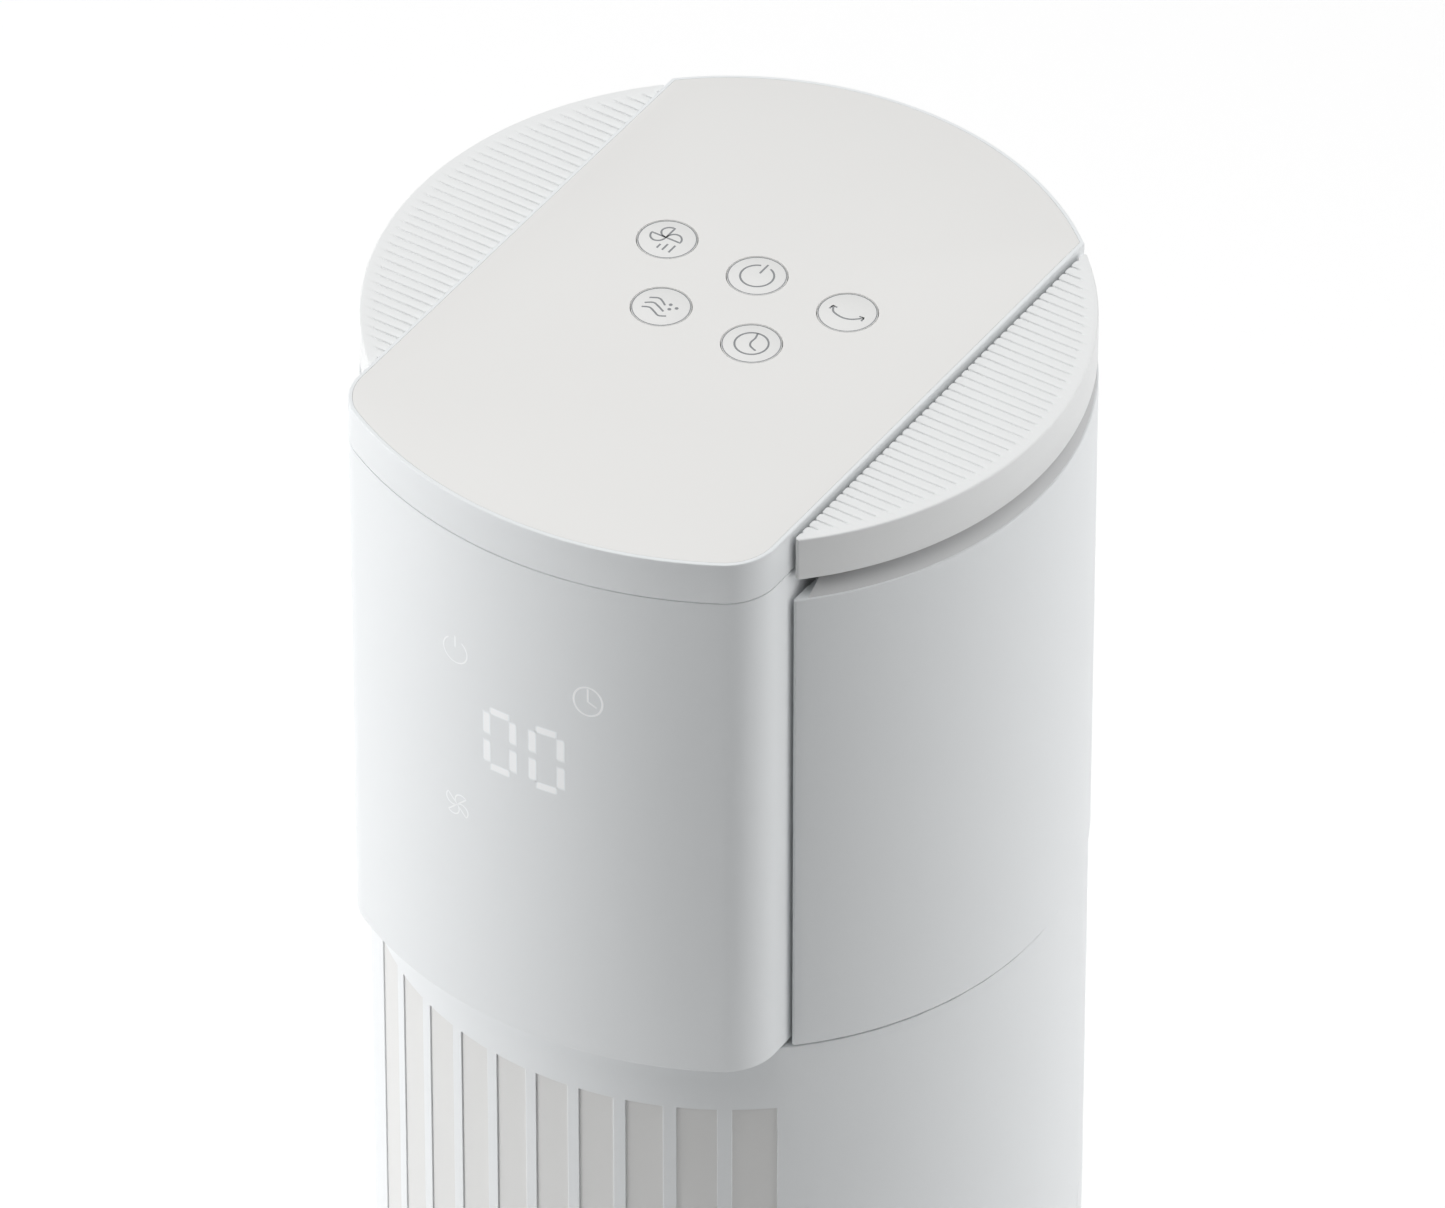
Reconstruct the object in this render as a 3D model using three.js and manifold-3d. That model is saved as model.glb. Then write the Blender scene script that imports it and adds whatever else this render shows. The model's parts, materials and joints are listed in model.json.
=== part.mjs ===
// Tower fan: a weighted round base, a geared swivel, a tubular casing with a slotted outlet,
// ten linked louvres, a cross-flow blower and a control head with a raised centre strip.
// Millimetres. The origin is the centre of the footprint, +Z is up and the front faces -Y.
import * as THREE from 'three';
import { mergeVertices } from 'three/addons/utils/BufferGeometryUtils.js';
import Module from 'manifold-3d';

const wasm = await Module();
wasm.setup();

// ---------------------------------------------------------------- driving dimensions
const HEIGHT = 1000;
const GAP = 0.3; // clearance between parts that touch
const DEG = Math.PI / 180;

const head = {
  radius: 110.3,
  capRadius: 110, // round outline of the caps and of the strip's back
  wall: 2.2,
  stripHalf: 73.5, // half width of the raised centre strip
  stripGap: 0.9, // shadow gap beside the strip
  frontRadius: 130.7, // bow of the strip's front face
  frontCentre: 9.9,
  cornerRadius: 18,
  band: 14.7, // height of the cap over the front panel
  capDrop: 2, // the ribbed caps lie this far below the strip
  skirt: 15.25,
  slot: 7.5, // finger slot under each ribbed cap
  ledgeRadius: 84, // inner edge of the slot's ledge
  panelHeight: 174,
};
const z = { top: HEIGHT };
z.capTop = z.top - head.capDrop;
z.skirt = z.capTop - head.skirt;
z.ledge = z.skirt - head.slot;
z.panelFoot = z.ledge - head.panelHeight;
z.casingTop = z.panelFoot - 0.8;
z.frontTop = z.top - head.band - GAP;
z.frontFoot = z.panelFoot + 1.2;

const rib = { pitch: 3.62, count: 41, depth: 0.85, rim: 3 };
const button = { radius: 9.1, gap: 0.35, travel: 0.8, height: 2.6 };
const buttonPlaces = [
  ['button_speed', -32, 15.4],
  ['button_power', 0, 15.4],
  ['button_swing', 32, 15.4],
  ['button_mode', -16, -12.4],
  ['button_timer', 16, -12.4],
];

const casing = { radius: 109.8, wall: 2, foot: 42 };
const outlet = { half: 72, windows: 10, bar: 3, low: 190, high: 776.5 };
outlet.pitch = (2 * outlet.half + outlet.bar) / outlet.windows;
const inlet = { angle: 68, low: 150, high: 668, corner: 10 }; // half angle about the back
const socket = { height: 92, width: 25, tall: 17 };

const louvre = {
  inset: 0.45, // how far the closed slabs lie under the casing's surface
  thickness: 1.4,
  hingeGap: 0.3, // to the bar beside the pivot
  freeGap: 0.7, // at the free edge, which swings a little outwards as it opens
  axisAlong: 0.9, // the pivot's place along the slab, from the window's edge
  axisDepth: 4.5, // and behind the casing's surface
  bead: 1.1, // radius of the bead round the pivot
  arm: 4.5,
  armAngle: 30 * DEG,
  pin: 1,
};

const blower = { y: 12, radius: 50, inner: 39, low: 205, high: 765, blades: 20 };
const plate = { radius: 84, thickness: 3, low: 172, high: 783 };

const base = { radius: 150, plateRadius: 145.6, edge: 12, top: 36, wall: 2.6, neckHole: 64 };
const neck = { radius: 62, top: 47.7 };
const gear = { module: 1.5, sectorTeeth: 100, pinionTeeth: 12, low: 21, high: 26 };
gear.sectorRadius = (gear.module * gear.sectorTeeth) / 2;
gear.pinionRadius = (gear.module * gear.pinionTeeth) / 2;
gear.distance = gear.sectorRadius + gear.pinionRadius;

// ---------------------------------------------------------------- materials
function plastic(color, roughness = 0.45, metalness = 0) {
  return new THREE.MeshStandardMaterial({ color, roughness, metalness });
}
const material = {
  shell: plastic(0xeef0f1, 0.42),
  plate: plastic(0xeceae4, 0.3),
  button: plastic(0xe9e9e6, 0.34),
  ribbed: plastic(0xecedee, 0.5),
  louvre: plastic(0xd9d9d6, 0.5),
  chassis: plastic(0xb9bcbe, 0.6),
  blower: plastic(0x3a3d40, 0.55),
  steel: plastic(0xb4b7ba, 0.35, 1),
  rubber: plastic(0x2b2c2e, 0.85),
  board: plastic(0x1f5a3c, 0.5),
  filter: plastic(0x6d7072, 0.9),
};

// ---------------------------------------------------------------- solids
// A closed geometry as a solid; triangles that collapse on a lathe's axis are left out.
function solid(geometry) {
  const bare = geometry.index ? geometry.toNonIndexed() : geometry.clone();
  bare.deleteAttribute('normal');
  bare.deleteAttribute('uv');
  const merged = mergeVertices(bare, 1e-4);
  const index = merged.index.array;
  const triangles = [];
  for (let i = 0; i < index.length; i += 3) {
    const [a, b, c] = [index[i], index[i + 1], index[i + 2]];
    if (a !== b && b !== c && c !== a) triangles.push(a, b, c);
  }
  const vertProperties = new Float32Array(merged.attributes.position.array);
  let made = new wasm.Manifold(
    new wasm.Mesh({ numProp: 3, vertProperties, triVerts: new Uint32Array(triangles) }),
  );
  if (made.volume() < 0) {
    triangles.reverse();
    const triVerts = new Uint32Array(triangles);
    made = new wasm.Manifold(new wasm.Mesh({ numProp: 3, vertProperties, triVerts }));
  }
  return made;
}

// A solid as a geometry for a mesh.
function geometryOf(made) {
  const out = made.getMesh();
  const geometry = new THREE.BufferGeometry();
  const xyz = new Float32Array(out.vertProperties);
  geometry.setAttribute('position', new THREE.BufferAttribute(xyz, out.numProp));
  geometry.setIndex(new THREE.BufferAttribute(new Uint32Array(out.triVerts), 1));
  return geometry;
}

function prism(points, low, high) {
  const shape = new THREE.Shape(points);
  const geometry = new THREE.ExtrudeGeometry(shape, { depth: high - low, bevelEnabled: false });
  return solid(geometry.translate(0, 0, low));
}

function box(x0, x1, y0, y1, low, high) {
  const geometry = new THREE.BoxGeometry(x1 - x0, y1 - y0, high - low);
  return solid(geometry.translate((x0 + x1) / 2, (y0 + y1) / 2, (low + high) / 2));
}

function rod(radius, low, high, x = 0, y = 0, sides = 16) {
  const geometry = new THREE.CylinderGeometry(radius, radius, high - low, sides);
  return solid(geometry.rotateX(Math.PI / 2).translate(x, y, (low + high) / 2));
}

// A solid of revolution about a vertical axis; the profile is a list of [radius, height].
function lathe(profile, sides = 32, x = 0, y = 0) {
  const points = profile.map(([r, h]) => new THREE.Vector2(r, h));
  const geometry = new THREE.LatheGeometry(points, sides);
  return solid(geometry.rotateX(Math.PI / 2).translate(x, y, 0));
}

function ring(inner, outer, low, high, x = 0, y = 0, sides = 28) {
  const profile = [[inner, low], [outer, low], [outer, high], [inner, high], [inner, low]];
  return lathe(profile, sides, x, y);
}

function join(...solids) {
  return solids.reduce((sum, next) => sum.add(next));
}

function cut(body, ...tools) {
  return tools.reduce((left, tool) => left.subtract(tool), body);
}

// Points on an arc about (x, y). The angle is measured from the front, towards +X.
function arc(radius, from, to, steps, x = 0, y = 0) {
  const points = [];
  for (let i = 0; i <= steps; i += 1) {
    const angle = from + ((to - from) * i) / steps;
    points.push(new THREE.Vector2(x + radius * Math.sin(angle), y - radius * Math.cos(angle)));
  }
  return points;
}

// A curved wall between two radii and two angles.
function sector(inner, outer, from, to, low, high, y = 0, steps = 48) {
  const outline = [...arc(outer, from, to, steps, 0, y), ...arc(inner, to, from, steps, 0, y)];
  return prism(outline, low, high);
}

const tower = new THREE.Group();

function part(name, made, look) {
  const mesh = new THREE.Mesh(geometryOf(made), look);
  mesh.name = name;
  tower.add(mesh);
}

// ---------------------------------------------------------------- outlines of the head
// The centre strip in plan, moved inwards by inset: bowed front, round front corners,
// straight sides and a back that follows the round body.
function stripOutline(inset) {
  const half = head.stripHalf - inset;
  const bow = head.frontRadius - inset;
  const corner = head.cornerRadius - inset;
  const cornerX = half - corner;
  const drop = Math.sqrt((bow - corner) ** 2 - cornerX ** 2);
  const cornerY = head.frontCentre - drop;
  const turn = Math.atan2(cornerX, drop);
  const back = head.capRadius - inset;
  const backTurn = Math.asin(half / back);
  return [
    ...arc(bow, -turn, turn, 16, 0, head.frontCentre),
    ...arc(corner, turn, Math.PI / 2, 6, cornerX, cornerY).slice(1),
    ...arc(back, Math.PI - backTurn, Math.PI + backTurn, 18),
    ...arc(corner, -Math.PI / 2, -turn, 6, -cornerX, cornerY).slice(0, -1),
  ];
}

// The round body beside the strip, from the strip's gap outwards.
const besideStrip = head.stripHalf + head.stripGap;
function segmentOutline(radius, inner = besideStrip) {
  const turn = Math.acos(inner / radius);
  return arc(radius, Math.PI / 2 - turn, Math.PI / 2 + turn, 30);
}

function mirrored(made) {
  return made.mirror([1, 0, 0]);
}

// ---------------------------------------------------------------- base
function makeBase() {
  const screwRadius = 132;
  const screwAngles = [0, 1, 2, 3].map((i) => (45 + 90 * i) * DEG);
  const places = screwAngles.map((a) => [screwRadius * Math.cos(a), screwRadius * Math.sin(a)]);

  const coverProfile = [
    [base.radius, 2.5],
    [base.radius, base.edge - 3],
    [base.radius - 3, base.edge + 0.6],
    [124, 28],
    [108, base.top],
    [base.neckHole, base.top],
    [base.neckHole, base.top - base.wall],
    [107.4, base.top - base.wall],
    [122.6, 25.8],
    [146.4, 9],
    [146.4, 2.5],
    [base.radius, 2.5],
  ];
  let cover = lathe(coverProfile, 60);
  for (const [x, y] of places) {
    cover = cut(join(cover, rod(5, 6.5, 18.6, x, y, 8)), rod(2.1, 0, 14, x, y, 8));
  }
  part('base_cover', cover, material.shell);

  let floor = rod(base.plateRadius, 2.5, 5.5, 0, 0, 60);
  for (const [x, y] of places) floor = cut(floor, rod(2.3, 0, 9, x, y, 8));
  part('base_weight_plate', cut(floor, rod(14, 0, 9)), material.steel);

  for (let i = 0; i < 4; i += 1) {
    const angle = 90 * i * DEG;
    const [x, y] = [126 * Math.cos(angle), 126 * Math.sin(angle)];
    part(`rubber_foot_${i + 1}`, lathe([[0, 0], [10, 0], [11, 1], [11, 2.2], [0, 2.2]], 20, x, y),
      material.rubber);
  }

  const hubProfile = [[15, 5.8], [36, 5.8], [36, 9], [23.4, 9], [23.4, 20], [15, 20], [15, 5.8]];
  part('swivel_hub', lathe(hubProfile, 24), material.chassis);
  part('swivel_slide_ring', ring(24, 35, 9.3, 10.5), material.plate);

  const motor = { radius: 18, low: 5.8, high: 18.4 };
  const can = rod(motor.radius, motor.low, motor.high, 0, gear.distance, 40);
  const ears = box(-24, 24, gear.distance - 5, gear.distance + 5, motor.high - 1.6, motor.high);
  const nose = rod(5, motor.high - 1, motor.high + 1.2, 0, gear.distance);
  const shaft = rod(1.6, motor.high, motor.high + 9.6, 0, gear.distance, 16);
  part('swing_motor', join(can, ears, nose, shaft), material.steel);
}

// ---------------------------------------------------------------- swivel gearing
function involutePoint(baseRadius, radius) {
  const t = Math.sqrt(Math.max(0, (radius / baseRadius) ** 2 - 1));
  return t - Math.atan(t);
}

// The outline of a run of stub teeth; the first tooth is centred on the angle start.
function teeth(count, total, first, stub, thin) {
  const pitchRadius = (gear.module * total) / 2;
  const pressure = 25 * DEG;
  const baseRadius = pitchRadius * Math.cos(pressure);
  const tip = pitchRadius + stub * gear.module;
  const root = pitchRadius - (stub + 0.3) * gear.module;
  const halfAtPitch = Math.PI / (2 * total) - thin / (2 * pitchRadius);
  const offset = halfAtPitch + involutePoint(baseRadius, pitchRadius);
  const flank = [Math.max(root, baseRadius), pitchRadius, tip];
  const points = [];
  for (let i = 0; i < count; i += 1) {
    const centre = first + (i * 2 * Math.PI) / total;
    const halves = flank.map((r) => [r, offset - involutePoint(baseRadius, r)]);
    const sides = [[root, halves[0][1] * 1.12], ...halves];
    for (const [r, half] of sides) points.push([r, centre - half]);
    for (const [r, half] of [...sides].reverse()) points.push([r, centre + half]);
  }
  return points.map(([r, a]) => new THREE.Vector2(r * Math.cos(a), r * Math.sin(a)));
}

function makeSwivel() {
  const stub = 0.7;
  const thin = 0.22;
  const sectorCount = 27;
  const step = (2 * Math.PI) / gear.sectorTeeth;
  const first = Math.PI / 2 - ((sectorCount - 1) / 2) * step;
  const outer = teeth(sectorCount, gear.sectorTeeth, first, stub, thin);
  const ends = [first - step / 2, first + (sectorCount - 0.5) * step];
  const inner = neck.radius + 4.3;
  const inside = [];
  for (let i = 0; i <= 18; i += 1) {
    const angle = ends[1] + ((ends[0] - ends[1]) * i) / 18;
    inside.push(new THREE.Vector2(inner * Math.cos(angle), inner * Math.sin(angle)));
  }
  part('swing_gear_sector', prism([...outer, ...inside], gear.low, gear.high), material.chassis);

  // A gap of the pinion faces the sector's middle tooth.
  const pinion = teeth(gear.pinionTeeth, gear.pinionTeeth, -Math.PI / 2 + Math.PI / gear.pinionTeeth,
    stub, thin);
  const wheel = prism(pinion, gear.low - 0.5, gear.high + 0.5).translate([0, gear.distance, 0]);
  part('swing_pinion', cut(wheel, rod(1.9, 0, 60, 0, gear.distance, 16)), material.plate);

  const flange = neck.radius + 4;
  const turntable = lathe([
    [23.7, 10.8],
    [35, 10.8],
    [35, gear.low],
    [flange, gear.low],
    [flange, gear.high],
    [neck.radius, gear.high],
    [neck.radius, neck.top],
    [neck.radius - 14, neck.top],
    [neck.radius - 14, gear.high],
    [30, gear.high],
    [23.7, gear.high],
    [23.7, 10.8],
  ]);
  part('turntable', turntable, material.chassis);
  part('casing_floor', ring(30, 107, 48, 51.5, 0, 0, 40), material.chassis);
}

// ---------------------------------------------------------------- casing
// A curved slab on the back with round corners, for the inlet opening and what fills it.
function inletBlock(inner, outer, shrink) {
  const half = inlet.angle * DEG - shrink / casing.radius;
  const [low, high] = [inlet.low + shrink, inlet.high - shrink];
  const width = 2 * half * casing.radius;
  const corner = inlet.corner - shrink;
  let slab = sector(inner, outer, Math.PI - half, Math.PI + half, low, high, 0, 36);
  for (const side of [-1, 1]) {
    for (const [level, up] of [[low, 1], [high, -1]]) {
      const angle = Math.PI + side * (width / 2 - corner) / casing.radius;
      const past = Math.PI + side * (width / 2 + 1) / casing.radius;
      const [from, to] = side < 0 ? [past, angle] : [angle, past];
      const [z0, z1] = up > 0 ? [level - 1, level + corner] : [level - corner, level + 1];
      const blank = sector(inner - 1, outer + 1, from, to, z0, z1, 0, 4);
      const round = new THREE.CylinderGeometry(corner, corner, 30, 24);
      round.translate(0, -casing.radius, level + up * corner).rotateZ(angle);
      slab = slab.subtract(blank.subtract(solid(round)));
    }
  }
  return slab;
}

// Angles of each outlet window's left and right edge.
const windowEdges = [];
for (let i = 0; i < outlet.windows; i += 1) {
  const left = -outlet.half + i * outlet.pitch;
  const right = left + outlet.pitch - outlet.bar;
  windowEdges.push([left, right].map((x) => Math.asin(x / casing.radius)));
}

function makeCasing() {
  let shell = ring(casing.radius - casing.wall, casing.radius, casing.foot, z.casingTop, 0, 0, 80);
  for (const [left, right] of windowEdges) {
    shell = cut(shell, sector(casing.radius - 20, casing.radius + 20, left, right,
      outlet.low, outlet.high, 0, 1));
  }
  shell = cut(shell, inletBlock(casing.radius - 8, casing.radius + 8, 0));
  const [halfWide, halfTall] = [socket.width / 2 + GAP, socket.tall / 2 + GAP];
  const hole = box(-halfWide, halfWide, 90, 130, socket.height - halfTall, socket.height + halfTall);
  part('lower_casing', cut(shell, hole), material.shell);

  // Rear inlet grille: columns of slots in a curved panel.
  let grille = inletBlock(casing.radius - 2, casing.radius, 0.5);
  const [columns, rows] = [15, 3];
  const rowHeight = (inlet.high - inlet.low - 30) / rows;
  for (let i = 0; i < columns; i += 1) {
    const angle = Math.PI + (i - (columns - 1) / 2) * 8.4 * DEG;
    for (let j = 0; j < rows; j += 1) {
      const low = inlet.low + 15 + j * rowHeight + 4;
      const slot = new THREE.BoxGeometry(6, 16, rowHeight - 8);
      slot.translate(0, -casing.radius, low + (rowHeight - 8) / 2).rotateZ(angle);
      grille = grille.subtract(solid(slot));
    }
  }
  part('rear_inlet_grille', grille, material.shell);
  const filterHalf = inlet.angle * DEG - 0.03;
  part('dust_filter', sector(104.4, 106.4, Math.PI - filterHalf, Math.PI + filterHalf,
    inlet.low + 4, inlet.high - 4, 0, 30), material.filter);

  // Mains inlet: a two-pin recess set flush in the back of the casing.
  const front = Math.sqrt(casing.radius ** 2 - (socket.width / 2) ** 2) - 0.4;
  const low = socket.height - socket.tall / 2;
  const body = box(-socket.width / 2, socket.width / 2, front - 16, front, low, low + socket.tall);
  const lobes = [-3.3, 3.3].map((x) => {
    const bore = new THREE.CylinderGeometry(4, 4, 12, 16).translate(x, front - 5, socket.height);
    return solid(bore);
  });
  const pins = [-4.2, 4.2].map((x) => {
    const pin = new THREE.CylinderGeometry(1.1, 1.1, 10, 8).translate(x, front - 7, socket.height);
    return solid(pin);
  });
  part('mains_inlet', join(cut(body, ...lobes), ...pins), material.blower);
}

// ---------------------------------------------------------------- louvres
// Each louvre's pivot, the width of its window and the direction of its slab.
const hinges = windowEdges.map(([left, right]) => {
  const [start, end] = arc(casing.radius, left, right, 1);
  const along = end.sub(start);
  const width = along.length();
  along.normalize();
  const inward = new THREE.Vector2(-along.y, along.x);
  const at = start.addScaledVector(along, louvre.axisAlong).addScaledVector(inward, louvre.axisDepth);
  return { at, width, turn: along.angle() };
});
const hingeRadius = hinges[0].at.length();

const armShift = [
  louvre.arm * Math.cos(louvre.armAngle),
  louvre.arm * Math.sin(louvre.armAngle),
];

function makeLouvres() {
  const railSpan = 45 * DEG;
  const railLow = [176, 182.4];
  const railHigh = [783.6, 790];
  const pinHole = louvre.pin + 0.35;
  const { bead } = louvre;
  const armBottom = railHigh[1] + 0.4;
  const barLow = armBottom + 2;
  const barHigh = barLow + 1.6;

  const railRing = [96.5, casing.radius - casing.wall - 0.4];
  for (const [name, [low, high]] of [['louvre_rail_lower', railLow], ['louvre_rail_upper', railHigh]]) {
    let rail = sector(...railRing, -railSpan, railSpan, low, high, 0, 20);
    for (const { at } of hinges) {
      rail = cut(rail, rod(pinHole, low - 1, high + 1, at.x, at.y, 8));
    }
    part(name, rail, material.chassis);
  }

  const web = louvre.axisAlong - louvre.hingeGap; // half width of the web from slab to bead
  const front = louvre.inset - louvre.axisDepth;
  const back = front + louvre.thickness;
  const webTurn = Math.asin(web / bead);
  for (const [i, { at, width, turn }] of hinges.entries()) {
    const freeEdge = width - louvre.freeGap - louvre.axisAlong;
    const outline = [
      new THREE.Vector2(-web, front),
      new THREE.Vector2(freeEdge, front),
      new THREE.Vector2(freeEdge, back),
      new THREE.Vector2(web, back),
      ...arc(bead, webTurn, 2 * Math.PI - webTurn, 8),
    ];
    const blade = prism(outline, outlet.low + GAP, outlet.high - GAP).rotate([0, 0, turn / DEG]);
    const pins = rod(louvre.pin, railLow[0] + 1, armBottom + 0.5, 0, 0, 8);
    const [ax, ay] = armShift;
    const arm = box(-1.8, louvre.arm + 1.6, -1.5, 1.5, armBottom, barLow - 0.3);
    const lever = join(
      arm.rotate([0, 0, louvre.armAngle / DEG]),
      rod(1, armBottom + 1, barHigh, ax, ay, 8),
    );
    const name = `louvre_${String(i + 1).padStart(2, '0')}`;
    part(name, join(blade, pins, lever).translate([at.x, at.y, 0]), material.louvre);
  }

  // Tie bar: a curved strip over the crank pins, with a tab back to the motor's crank.
  const motor = { x: -6, y: -79 };
  const barHalf = 1.9;
  const ends = [hinges[0].at, hinges[outlet.windows - 1].at];
  const barEnds = ends.map((at) => Math.atan2(at.x, -at.y));
  let bar = sector(hingeRadius - barHalf, hingeRadius + barHalf, ...barEnds, barLow, barHigh, 0, 20);
  for (const at of ends) {
    bar = join(bar, rod(barHalf, barLow, barHigh, at.x, at.y, 10));
  }
  bar = bar.translate([...armShift, 0]);
  const [tabX, tabY] = [motor.x + armShift[0], motor.y + armShift[1]];
  bar = join(bar, box(tabX - 2.5, tabX + 2.5, armShift[1] - hingeRadius, tabY, barLow, barHigh),
    rod(2.5, barLow, barHigh, tabX, tabY, 12));
  for (const { at } of hinges) {
    bar = cut(bar, rod(1.4, 0, HEIGHT, at.x + armShift[0], at.y + armShift[1], 8));
  }
  part('louvre_tie_bar', cut(bar, rod(1.4, 0, HEIGHT, tabX, tabY, 8)), material.chassis);

  const crankLow = barHigh + 0.3;
  const crank = join(
    box(0, louvre.arm, -1.5, 1.5, crankLow, crankLow + 1.6).rotate([0, 0, louvre.armAngle / DEG]),
    rod(2.6, crankLow, crankLow + 1.6),
    rod(1.9, crankLow, crankLow + 1.6, ...armShift),
    rod(1, barLow, crankLow + 1, ...armShift, 8),
    rod(1.5, crankLow + 1, crankLow + 3.2, 0, 0, 12),
  );
  part('louvre_crank', crank.translate([motor.x, motor.y, 0]), material.plate);
  const can = rod(12, crankLow + 3.5, crankLow + 17, motor.x, motor.y, 24);
  const ears = box(motor.x - 17.5, motor.x + 17.5, motor.y - 3.5, motor.y + 3.5,
    crankLow + 3.5, crankLow + 4.7);
  part('louvre_motor', join(can, ears), material.steel);
}

// ---------------------------------------------------------------- blower
// A wall of even thickness along a run of points.
function wallAlong(points, thickness, low, high) {
  const left = [];
  const right = [];
  points.forEach((p, i) => {
    const before = points[Math.max(0, i - 1)];
    const after = points[Math.min(points.length - 1, i + 1)];
    const normal = after.clone().sub(before).normalize().rotateAround(new THREE.Vector2(), Math.PI / 2);
    left.push(p.clone().addScaledVector(normal, thickness / 2));
    right.push(p.clone().addScaledVector(normal, -thickness / 2));
  });
  return prism([...left, ...right.reverse()], low, high);
}

function makeBlower() {
  const wallLow = plate.low + plate.thickness + GAP;
  const wallHigh = plate.high - GAP;

  // Scroll: an opening spiral from behind the rotor to the outlet's left side.
  const scroll = [];
  for (let i = 0; i <= 16; i += 1) {
    const angle = (135 + 80 * (i / 16)) * DEG;
    const radius = 54.5 * Math.exp(0.165 * 80 * DEG * (i / 16));
    scroll.push(new THREE.Vector2(radius * Math.cos(angle), blower.y + radius * Math.sin(angle)));
  }
  scroll.push(new THREE.Vector2(-78, -64));
  part('scroll_wall', wallAlong(scroll, 2, wallLow, wallHigh), material.blower);

  // Cut-off: a round nose beside the rotor, then a guide to the outlet's right side.
  const nose = new THREE.Vector2(55.5, -7);
  const guide = [nose, new THREE.Vector2(58, -14), new THREE.Vector2(64, -27),
    new THREE.Vector2(78, -64)];
  const lip = rod(2.2, wallLow, wallHigh, nose.x, nose.y);
  part('cutoff_wall', join(wallAlong(guide, 2, wallLow, wallHigh), lip), material.blower);

  const bearing = { outer: 11, inner: 4.3, high: plate.high + 7 };
  const upper = cut(rod(plate.radius, plate.high, plate.high + plate.thickness, 0, 0, 36),
    rod(bearing.outer + GAP, 0, HEIGHT, 0, blower.y, 24));
  part('blower_top_plate', upper, material.chassis);
  part('top_bearing', join(
    ring(bearing.inner, bearing.outer, plate.high - 2, bearing.high, 0, blower.y, 20),
    ring(bearing.inner, bearing.outer + 3, plate.high + plate.thickness + GAP, bearing.high, 0,
      blower.y, 20),
  ), material.rubber);
  const lower = cut(rod(plate.radius, plate.low, plate.low + plate.thickness, 0, 0, 36),
    rod(13, 0, HEIGHT, 0, blower.y, 24));
  part('blower_bottom_plate', lower, material.chassis);

  // Cross-flow rotor: curved blades between ring discs, a solid disc below and a stub above.
  const discs = [blower.low, 484, blower.high - 2.4].map((low, i) => {
    const hole = i === 1 ? blower.inner + 2 : 0;
    return hole ? ring(hole, blower.radius + 1, low, low + 2.4, 0, 0, 36)
      : rod(blower.radius + 1, low, low + 2.4, 0, 0, 36);
  });
  const bow = [];
  for (let i = 0; i <= 2; i += 1) {
    const t = i / 2;
    const radius = blower.inner + (blower.radius - blower.inner) * t;
    const lean = 0.16 * Math.sin(Math.PI * t * 0.5);
    bow.push(new THREE.Vector2(radius * Math.cos(lean), radius * Math.sin(lean)));
  }
  const blade = wallAlong(bow, 1, blower.low + 1, blower.high - 1);
  let rotor = join(...discs, rod(9, blower.low - 14, blower.low + 6), rod(8, blower.high - 8,
    blower.high + 4));
  for (let i = 0; i < blower.blades; i += 1) {
    rotor = rotor.add(blade.rotate([0, 0, (360 * i) / blower.blades]));
  }
  rotor = cut(rotor, rod(3.9, 0, blower.low + 4), rod(3.9, blower.high - 6, HEIGHT));
  part('cross_flow_rotor', rotor.translate([0, blower.y, 0]), material.blower);
  part('rotor_stub', rod(3.6, blower.high - 5.6, bearing.high - 1, 0, blower.y), material.steel);
  part('motor_shaft', rod(3.6, 112, blower.low + 3.6, 0, blower.y), material.steel);

  const motorProfile = [[4, 108], [34, 108], [38, 112], [38, 156], [34, 160], [12, 160], [12, 166],
    [4, 166], [4, 108]];
  part('fan_motor', lathe(motorProfile, 24, 0, blower.y), material.steel);
  const mountProfile = [[38.4, 130], [41, 130], [41, 168.4], [58, 168.4], [58, 171.7],
    [38.4, 171.7], [38.4, 130]];
  part('motor_mount', lathe(mountProfile, 24, 0, blower.y), material.chassis);

  // Power board on the casing's floor: pillars, transformer, capacitor and terminal block.
  const board = join(
    box(-38, 38, -30, 30, 60, 61.6),
    box(-30, -4, -22, 12, 61, 82),
    rod(8, 61, 84, 14, 8),
    box(8, 34, -26, -14, 61, 72),
    ...[[-33, -25], [33, -25], [-33, 25], [33, 25]].map(([x, y]) => rod(3, 51.8, 61, x, y)),
  );
  part('power_board', board, material.board);
}

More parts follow.
